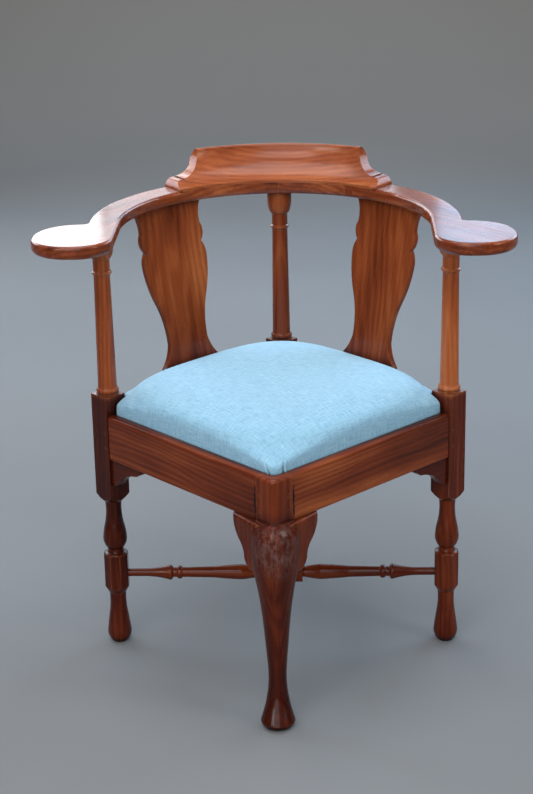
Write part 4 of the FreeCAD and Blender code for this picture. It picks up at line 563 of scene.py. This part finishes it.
def lay_cloth(mesh, flat):
    """The UV map named cloth, in metres, from one place for each vertex."""
    corners = np.empty(len(mesh.loops), dtype=np.int32)
    mesh.loops.foreach_get("vertex_index", corners)
    mesh.uv_layers.new(name="cloth").data.foreach_set("uv", flat[corners].ravel())


# The seat's upholstery. Along the rails its own axes run to the rear right and the rear left, and its front
# corner, the only one that is not cut out for a post, lies at the lowest values of both.

def turned_to_chair(points):
    """From the seat's own axes to the chair's."""
    cosine, sine = math.cos(SEAT_TURN), math.sin(SEAT_TURN)
    x, y, z = points[..., 0], points[..., 1], points[..., 2]
    return np.stack([x * cosine - y * sine, x * sine + y * cosine, z], axis=-1)


def crown_rows(steps, rise):
    """Section of the crown from its edge to its top, as the share of the reach and the height over the edge.

    An angle a goes from nothing to a quarter turn as the square of the row's number. The height is
    rise * sin(a)^0.33 and the share is cos(a)^(1/1.15), so the sides stand almost upright and the top is flat.
    """
    angle = math.pi / 2 * np.asarray(steps) ** 2
    return np.cos(angle) ** (1 / CROWN_FLATNESS), rise * np.sin(angle) ** CROWN_STEEPNESS


def square_edge(shares):
    """Points round the unit square: each whole number of the share starts at another corner."""
    side, along = np.divmod(np.asarray(shares), 1.0)
    turn = side * math.pi / 2
    return (np.cos(turn) - np.sin(turn) * (2 * along - 1), np.sin(turn) + np.cos(turn) * (2 * along - 1))


def notched_rows(shares, reach, heights, corner, step):
    """Plan of every row: rows of points (x, y, z) on the seat's own axes.

    A point (u, v) of the unit square's edge is moved to reach * (u, v) / (|u|^p + |v|^p)^(1/p), a square whose
    corners are rounder the lower p is. Then the smaller of |x| and |y|, where it is over the step, is cut back to
    the step and the other by as much, except at the front corner, so that the corner turns into a notch.
    """
    u, v = (value[None, :] for value in square_edge(shares))
    power = (-math.log(2) / np.log(1 - FULL_ROUND * corner))[:, None]
    size = reach[:, None] / (np.abs(u) ** power + np.abs(v) ** power) ** (1 / power)
    x, y = size * u, size * v
    excess = np.minimum(np.abs(x), np.abs(y)) - step
    excess = 0.5 * (excess + np.sqrt(excess ** 2 + NOTCH_ROUNDING ** 2))
    excess = np.where((x < 0) & (y < 0), 0.0, excess)
    x, y = x - np.sign(x) * excess, y - np.sign(y) * excess
    return np.stack([x, y, np.broadcast_to(heights[:, None], x.shape)], axis=-1)


def corner_shares(rises):
    """How round the plan's corners are, from the edge to the top of the crown: square as far as the frame reaches,
    and then 0.068 + 0.635 * rise^0.53."""
    over_frame = np.clip((rises - CORNER_FROM) / CORNER_FADE, 0, 1)
    return CORNER_BASE + CORNER_GAIN * rises ** CORNER_POWER * over_frame ** 2 * (3 - 2 * over_frame)


def side_places(count):
    """Places along one side from 0 to 1, closest together at the corners: half of 1 + sine."""
    return (np.sin(math.pi / 2 * np.linspace(-1, 1, count + 1)[:-1]) + 1) / 2


def cover_shares():
    """Places round the cover's edge: close together at every corner, and closest at the pleats."""
    sine = side_places(COVER_SIDE)
    pleats = np.linspace(0.0, 0.065, 36)
    return np.unique(np.concatenate([sine, 1 + sine, 2 + sine, 3 + sine, 2 + (1 - pleats[1:]), 3 + pleats]).round(6))


def drawn_tight(rise):
    """Cloth simulation of the cover's crown under the push of its stuffing.

    Returns how far each place moves outwards, on a grid of crown steps and shares round the edge.
    """
    steps = np.arange(SIM_ROWS) / SIM_ROWS
    shares = np.arange(4 * SIM_SIDE) / SIM_SIDE
    share, height = crown_rows(steps, rise)
    rows = turned_to_chair(notched_rows(shares, COVER_REACH * share, RAIL_TOP + height,
                                        corner_shares(height / rise), NOTCH_STEP))
    item = bpy.data.objects.new("cover_before_tightening",
                                closed_rows_mesh("cover_before_tightening", rows, (0, 0, RAIL_TOP + rise)))
    scene = bpy.context.scene
    scene.collection.objects.link(item)
    held = item.vertex_groups.new(name="held")
    for row in range(SIM_ROWS):
        weight = float(np.clip((SIM_FREE - height[row] / rise) / SIM_FADE, 0, 1))
        held.add(range(row * len(shares), (row + 1) * len(shares)), weight, "REPLACE")
    settings = item.modifiers.new("cloth", "CLOTH").settings
    settings.quality = 6
    settings.use_pressure = True
    settings.uniform_pressure_force = 4.0
    settings.effector_weights.gravity = 0.0
    settings.tension_stiffness = settings.compression_stiffness = 25.0
    settings.bending_stiffness = 2.0
    settings.vertex_group_mass = "held"
    settings.pin_stiffness = 4.0
    for number in range(1, SIM_FRAMES + 1):
        scene.frame_set(number)
    moved = np.empty(3 * (SIM_ROWS * len(shares) + 1))
    normals = np.empty_like(moved)
    solved = item.evaluated_get(bpy.context.evaluated_depsgraph_get()).to_mesh()
    solved.vertices.foreach_get("co", moved)
    solved.vertices.foreach_get("normal", normals)
    moved, normals = (value.reshape(-1, 3)[:-1].reshape(rows.shape) for value in (moved, normals))
    outwards = np.sum((moved - rows) * normals, axis=-1)
    scene.frame_set(1)
    bpy.data.objects.remove(item)
    return steps, shares, np.clip(outwards, 0.0, COVER_SWELL)


def spread(field, steps, shares, new_steps, new_shares):
    """A field on the simulation's grid, read at other steps and shares round the edge, and smoothed a little."""
    around = np.stack([np.interp(new_shares, np.append(shares, 4.0), np.append(row, row[0])) for row in field])
    fine = np.stack([np.interp(new_steps, steps, column) for column in around.T], axis=1)
    for _ in range(6):
        fine = (fine + 0.5 * (np.roll(fine, 1, axis=1) + np.roll(fine, -1, axis=1))) / 2
        fine[1:-1] = (fine[1:-1] + 0.5 * (fine[:-2] + fine[2:])) / 2
    return fine


def grid_normals(rows):
    """Outward unit normals of rows of points, by differences between neighbours."""
    around = np.roll(rows, -1, axis=1) - np.roll(rows, 1, axis=1)
    upward = np.gradient(rows, axis=0)
    normals = np.cross(around, upward)
    return normals / np.maximum(np.linalg.norm(normals, axis=-1, keepdims=True), 1e-12)


def bell(distance, width):
    """The bell curve exp(-(distance / width)^2)."""
    return np.exp(-(distance / width) ** 2)


def pleated(rows, normals):
    """Folds of the cover at its front corner: each is a groove with a soft ridge beside it.

    The distance from a fold's line x = foot + lean * (z - edge) goes into two bell curves, and both die away as the
    cover rises. Also returns the painted shadow of each place from the fold.
    """
    x, y, z = rows[..., 0], rows[..., 1], rows[..., 2]
    depth, dark = np.zeros_like(x), np.zeros_like(x)
    for foot, lean, length, side in PLEATS:
        up = np.clip((z - RAIL_TOP) / length, 0, 1)
        off = (x - foot - lean * (z - RAIL_TOP)) * side
        fade = (1 - up ** 2) ** 2 * np.clip((z - RAIL_TOP + 0.004) / 0.004, 0, 1) * (y < -0.2)
        depth += fade * (GROOVE_DEPTH * bell(off, GROOVE_WIDTH) - RIDGE_HEIGHT * bell(off - RIDGE_AWAY, RIDGE_WIDTH))
        # Painted shadow along each groove
        dark += np.sqrt(fade) * bell(off, FOLD_SHADOW)
    return rows - normals * depth[..., None], dark


def cover_section(share, height):
    """Share of the reach and height of the cover's rows: the hem under the frame, a small turn, the side in the
    rebate, and then the crown as given."""
    under = np.linspace(HEM_REACH / COVER_REACH, 1 - 0.005, 6)
    side = np.linspace(COVER_BOTTOM + 0.001, RAIL_TOP, 8)[:-1]
    return (np.concatenate([under, [1 - 0.0015], np.ones_like(side), share]),
            np.concatenate([np.full_like(under, COVER_BOTTOM), [COVER_BOTTOM + 0.0002], side, RAIL_TOP + height]))


def unrolled(own, plan, rows, shares):
    """Where each place of the cover lies on the flat cloth: its plan on the seat's own axes, moved outwards over
    the nearer side by what the run from the top is longer than the plan."""
    runs = np.linalg.norm(np.diff(rows[::-1], axis=0), axis=-1)
    runs = np.cumsum(np.concatenate([plan[-1:], runs]), axis=0)[::-1]
    square = np.stack(square_edge(shares), axis=-1)[None]
    return own + np.sign(square) * np.abs(square) ** 6 * (runs - plan)[..., None]


def cover_mesh(crown):
    """The cover: rows of the crown's section round the notched plan, moved outwards by the simulation's swell and
    then pleated, with its flat places and the painted shadow of its folds."""
    rise = crown - COVER_SWELL * 0.8
    shares = cover_shares()
    steps = np.linspace(0, 1, COVER_ROWS + 1)[:-1]
    share, z = cover_section(*crown_rows(steps, rise))
    rises = np.clip((z - RAIL_TOP) / rise, 0, 1)
    own = notched_rows(shares, COVER_REACH * share, z, corner_shares(rises), NOTCH_STEP)
    rows = turned_to_chair(own)
    swell = np.zeros(rows.shape[:2])
    sim_steps, sim_shares, field = drawn_tight(rise)
    swell[-COVER_ROWS:] = spread(field, sim_steps, sim_shares, steps, shares)
    normals = grid_normals(rows)
    plan = np.linalg.norm(rows[..., :2], axis=-1)
    rows, dark = pleated(rows + normals * swell[..., None], normals)
    mesh = closed_rows_mesh("cover", rows, (0.0, 0.0, RAIL_TOP + rise + float(swell[-1].mean())))
    flat = unrolled(own[..., :2], plan, rows, shares)
    lay_cloth(mesh, np.concatenate([flat.reshape(-1, 2), [[0.0, 0.0]]]))
    # The folds' painted shadow, for the linen's material
    fold_shade = mesh.attributes.new("fold_shade", "FLOAT", "POINT")
    fold_shade.data.foreach_set("value", np.append(dark.ravel(), 0.0))
    return mesh


def stuffing_mesh(crown):
    """The pad: the cover's crown, set in by the stuffing's inset, from its flat bottom upwards."""
    rise = crown - COVER_SWELL * 0.8 - STUFFING_INSET
    shares = np.unique(np.concatenate([corner + side_places(STUFFING_SIDE) for corner in range(4)]))
    share, height = crown_rows(np.linspace(0, 1, STUFFING_ROWS + 1)[:-1], rise)
    rows = notched_rows(shares, (COVER_REACH - STUFFING_INSET) * share, np.maximum(RAIL_TOP + height, STUFFING_BOTTOM),
                        corner_shares(height / rise), NOTCH_STEP - STUFFING_INSET)
    kept = RAIL_TOP + height > STUFFING_BOTTOM
    rows = turned_to_chair(np.concatenate([rows[~kept][-1:], rows[kept]]))
    return closed_rows_mesh("stuffing", rows, (0, 0, RAIL_TOP + rise), (0, 0, STUFFING_BOTTOM))


def cloth_square(name, reach, step, height):
    """A flat square of cloth on the seat's own axes: x and y from -reach to reach at one height. Where a step is
    given, the three corners where both |x| and |y| are over it are left out."""
    side = np.linspace(-reach, reach, CLOTH_SIDE + 1)
    if step:
        side = np.unique(np.concatenate([side, [-step, step]]))
    x, y = np.meshgrid(side, side, indexing="ij")
    points = turned_to_chair(np.stack([x, y, np.full_like(x, height)], axis=-1)).reshape(-1, 3)
    faces = grid_faces(np.arange(x.size).reshape(x.shape))
    if step:
        middle = (side[1:] + side[:-1]) / 2
        one, other = np.meshgrid(middle, middle, indexing="ij")
        faces = faces[(np.minimum(np.abs(one), np.abs(other)) < step) | ((one < 0) & (other < 0))]
    mesh = smooth_mesh(name, points, faces.reshape(-1, 4).tolist())
    lay_cloth(mesh, np.stack([x.ravel(), y.ravel()], axis=-1))
    return mesh


def strap_mesh(name, turned_over):
    """Three straps side by side that go over and under three others.

    The middle of strap number m at the length x has the height WEBBING_MIDDLE + 0.5 mm * cos(pi x / pitch + pi m),
    which sinks to the rails' top near both ends.
    """
    along = np.linspace(-WEBBING_REACH, WEBBING_REACH, 121)
    across = np.linspace(-0.5, 0.5, 9) * WEBBING_WIDTH
    points, faces, flat = [], [], []
    for number in (-1, 0, 1):
        wave = np.cos(math.pi * (along / WEBBING_PITCH + number)) * (-1 if turned_over else 1)
        rest = np.clip((np.abs(along) - 0.115) / 0.03, 0, 1)
        wave = wave * (1 - rest) - rest
        x, y = np.meshgrid(along, across + number * WEBBING_PITCH, indexing="ij")
        z = np.repeat(WEBBING_MIDDLE + WEBBING_WAVE * wave[:, None], len(across), axis=1)
        flat.append(np.stack([x.ravel(), y.ravel()], axis=-1))
        if turned_over:
            x, y = -y, x
        faces.append(grid_faces(np.arange(x.size).reshape(x.shape) + len(points) * x.size))
        points.append(turned_to_chair(np.stack([x, y, z], axis=-1)).reshape(-1, 3))
    mesh = smooth_mesh(name, np.concatenate(points), np.concatenate(faces).reshape(-1, 4).tolist())
    lay_cloth(mesh, np.concatenate(flat))
    return mesh


# Stage

def aimed_camera(settings):
    """The camera at the photograph's place: forward from yaw and pitch, then rolled about that line."""
    yaw, pitch, roll = settings.yaw, settings.pitch, settings.roll
    forward = Vector((math.sin(yaw) * math.cos(pitch), math.cos(yaw) * math.cos(pitch), -math.sin(pitch)))
    right = Vector((math.cos(yaw), -math.sin(yaw), 0))
    up = right.cross(forward)
    right, up = math.cos(roll) * right + math.sin(roll) * up, math.cos(roll) * up - math.sin(roll) * right
    camera = bpy.data.objects.new("camera", bpy.data.cameras.new("camera"))
    camera.data.lens = settings.lens
    camera.data.clip_end = VIEW_DEPTH
    turn = Matrix((right, up, -forward)).transposed().to_4x4()
    camera.matrix_world = Matrix.Translation(settings.camera_place) @ turn
    return camera


def soft_lamp(name, place, target, size, power, colour):
    """A large rectangular lamp that faces a point."""
    lamp = bpy.data.lights.new(name, "AREA")
    lamp.shape = "RECTANGLE"
    lamp.size, lamp.size_y = size
    lamp.energy = power
    lamp.color = colour
    item = bpy.data.objects.new(name, lamp)
    item.location = place
    item.rotation_euler = (Vector(target) - Vector(place)).to_track_quat("-Z", "Y").to_euler()
    bpy.context.scene.collection.objects.link(item)


def sweep_mesh():
    """Floor and backdrop in one: a profile of a level run, a quarter circle of 2 m and an upright run, drawn
    straight sideways."""
    turn = np.linspace(0, math.pi / 2, 24)
    y = np.concatenate([[SWEEP_FRONT], SWEEP_BACK - SWEEP_RADIUS + SWEEP_RADIUS * np.sin(turn), [SWEEP_BACK]])
    z = np.concatenate([[0.0], SWEEP_RADIUS - SWEEP_RADIUS * np.cos(turn), [SWEEP_TOP]])
    points = np.concatenate([np.stack([np.full_like(y, side), y, z], axis=1) for side in (-SWEEP_HALF, SWEEP_HALF)])
    index = np.arange(len(y) - 1)
    faces = np.stack([index, index + len(y), index + len(y) + 1, index + 1], axis=1)
    return smooth_mesh("studio_sweep", points, faces.tolist())


def studio_paper(floor):
    """Matt paper with faint clouds, a little paler where it rises behind the chair."""
    finish = Finish("studio_paper")
    cloud = finish.noise(finish.object_place, 0.9, detail=3, roughness=0.5)
    colour = finish.mixed(finish.ranged(cloud, 0.25, 0.75), tuple(value * FLOOR_CLOUD for value in floor), floor)
    far = finish.ranged(finish.coordinates()[1], BACKDROP_FROM, BACKDROP_TO)
    colour = finish.mixed(far, colour, tuple(value * gain for value, gain in zip(floor, BACKDROP_GAIN)))
    return finish.shaded(Base_Color=colour, Roughness=0.9, Specular_IOR_Level=0.1)


def studio_air():
    """Soft light from all round: dim near the floor and brighter and cooler overhead."""
    world = bpy.data.worlds.new("studio_air")
    world.use_nodes = True
    tree = world.node_tree
    place = tree.nodes.new("ShaderNodeTexCoord")
    parts = tree.nodes.new("ShaderNodeSeparateXYZ")
    ramp = tree.nodes.new("ShaderNodeValToRGB")
    tree.links.new(place.outputs["Generated"], parts.inputs[0])
    tree.links.new(parts.outputs[2], ramp.inputs[0])
    tree.links.new(ramp.outputs[0], tree.nodes["Background"].inputs[0])
    for element, (height, colour) in zip(ramp.color_ramp.elements, AIR):
        element.position = height
        element.color = (*colour, 1.0)
    return world


# Operators

class CHAIR_OT_wood(Operator):
    """Wax and grain for every wooden piece that shows."""
    bl_idname = "chair.wood"
    bl_label = "Waxed wood"

    def execute(self, context):
        settings = context.scene.chair_wood
        for name, values in WOODEN_PIECES.items():
            set_material(NODES[name], waxed_wood("wood_" + name, settings, *values, gaps=name in OPEN_JOINTED,
                                                 coat=BRIGHTER.get(name, POLISH)))
        pins = waxed_wood("wood_pins", settings, *PLUGS_AND_PINS)
        for name in ("rail_pins", "arm_plug"):
            set_material(NODES[name], pins)
        return {"FINISHED"}


class CHAIR_OT_hidden(Operator):
    """Bare wood and steel of the pieces inside and under the seat and the crest."""
    bl_idname = "chair.hidden"
    bl_label = "Hidden pieces"

    def execute(self, context):
        pine = bare_wood()
        for name, item in NODES.items():
            if name.startswith("slip_"):
                set_material(item, pine)
        set_material(NODES["crest_screws"], old_steel())
        return {"FINISHED"}


class CHAIR_OT_cover(Operator):
    """The blue linen cover of the seat, stretched over its stuffing and turned under its frame."""
    bl_idname = "chair.cover"
    bl_label = "Seat cover"

    def execute(self, context):
        settings = context.scene.chair_cloth
        mesh = cover_mesh(settings.crown)
        threads = (settings.dark_thread[:], settings.thread[:], settings.pale_thread[:])
        cover = new_piece("seat_linen_cover", mesh, woven("blue_linen", settings.pitch, threads, 0.5, 0.25),
                          "seat_cover")
        thickened(cover, SKIN, -1.0)
        return {"FINISHED"}


class CHAIR_OT_stuffing(Operator):
    """The pad of hair and cotton under the cover."""
    bl_idname = "chair.stuffing"
    bl_label = "Stuffing"

    def execute(self, context):
        mesh = stuffing_mesh(context.scene.chair_cloth.crown)
        pad = new_piece("seat_cotton_pad", mesh, raw_cotton(), "seat_stuffing")
        return {"FINISHED"}


class CHAIR_OT_cloths(Operator):
    """The dust cloth under the seat and the cloth between webbing and stuffing."""
    bl_idname = "chair.cloths"
    bl_label = "Hidden cloths"

    def execute(self, context):
        pitch = context.scene.chair_cloth.pitch
        black = woven("black_cambric", pitch * 0.6, BLACK_THREADS, 0.3, 0.1)
        calico = woven("platform_calico", pitch * 0.8, CALICO_THREADS, 0.4, 0.15)
        for name, reach, step, height, material, slot, node in (
                ("seat_dust_cloth", DUST_REACH, 0, DUST_LOW, black, "dust_cloth", "seat_bottom_cloth"),
                ("seat_platform_cloth", PLATFORM_REACH, PLATFORM_STEP, PLATFORM_LOW, calico, "canvas",
                 "seat_canvas")):
            piece = new_piece(name, cloth_square(name, reach, step, height), material, node)
            thickened(piece, THIN_CLOTH, 1.0)
        return {"FINISHED"}


class CHAIR_OT_webbing(Operator):
    """Jute webbing under the stuffing, plaited over and under."""
    bl_idname = "chair.webbing"
    bl_label = "Webbing"

    def execute(self, context):
        jute = woven("jute_webbing", context.scene.chair_cloth.pitch * 1.4, JUTE_THREADS, 0.5, 0.1)
        for name, turned_over, node in (("webbing_straps_first", False, "webbing_one_way"),
                                        ("webbing_straps_second", True, "webbing_other_way")):
            piece = new_piece(name, strap_mesh(name, turned_over), jute, node)
            thickened(piece, WEBBING_THICKNESS, 0.0)
        return {"FINISHED"}


class CHAIR_OT_stage(Operator):
    """Camera, soft lamps, and a pale floor that runs up into a backdrop."""
    bl_idname = "chair.stage"
    bl_label = "Studio"

    def execute(self, context):
        settings = context.scene.chair_stage
        scene = context.scene
        scene.camera = aimed_camera(settings)
        scene.collection.objects.link(scene.camera)
        scene.view_settings.view_transform = "Standard"
        sweep = bpy.data.objects.new("studio_sweep", sweep_mesh())
        scene.collection.objects.link(sweep)
        set_material(sweep, studio_paper(settings.floor[:]))
        scene.world = studio_air()
        for lamp in LAMPS:
            soft_lamp(*lamp)
        return {"FINISHED"}


class CHAIR_PT_panel(Panel):
    """Buttons for each part of the chair."""
    bl_idname = "CHAIR_PT_panel"
    bl_label = "Corner Chair"
    bl_space_type = "VIEW_3D"
    bl_region_type = "UI"
    bl_category = "Corner Chair"

    def draw(self, context):
        for step in STEPS:
            self.layout.operator("chair." + step)


SETTINGS = {"chair_wood": WoodSettings, "chair_cloth": ClothSettings, "chair_stage": StageSettings}
CLASSES = (*SETTINGS.values(), CHAIR_OT_wood, CHAIR_OT_hidden, CHAIR_OT_cover, CHAIR_OT_stuffing, CHAIR_OT_cloths,
           CHAIR_OT_webbing, CHAIR_OT_stage, CHAIR_PT_panel)


def register():
    """Make the classes and settings known to Blender."""
    for item in CLASSES:
        bpy.utils.register_class(item)
    for name, group in SETTINGS.items():
        setattr(bpy.types.Scene, name, PointerProperty(type=group))


def unregister():
    """Take them away again."""
    for name in SETTINGS:
        delattr(bpy.types.Scene, name)
    for item in reversed(CLASSES):
        bpy.utils.unregister_class(item)


def main():
    """Register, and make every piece."""
    register()
    for step in STEPS:
        if getattr(bpy.ops.chair, step)() != {"FINISHED"}:
            raise RuntimeError(f"chair.{step} did not finish")


if __name__ == "__main__":
    main()
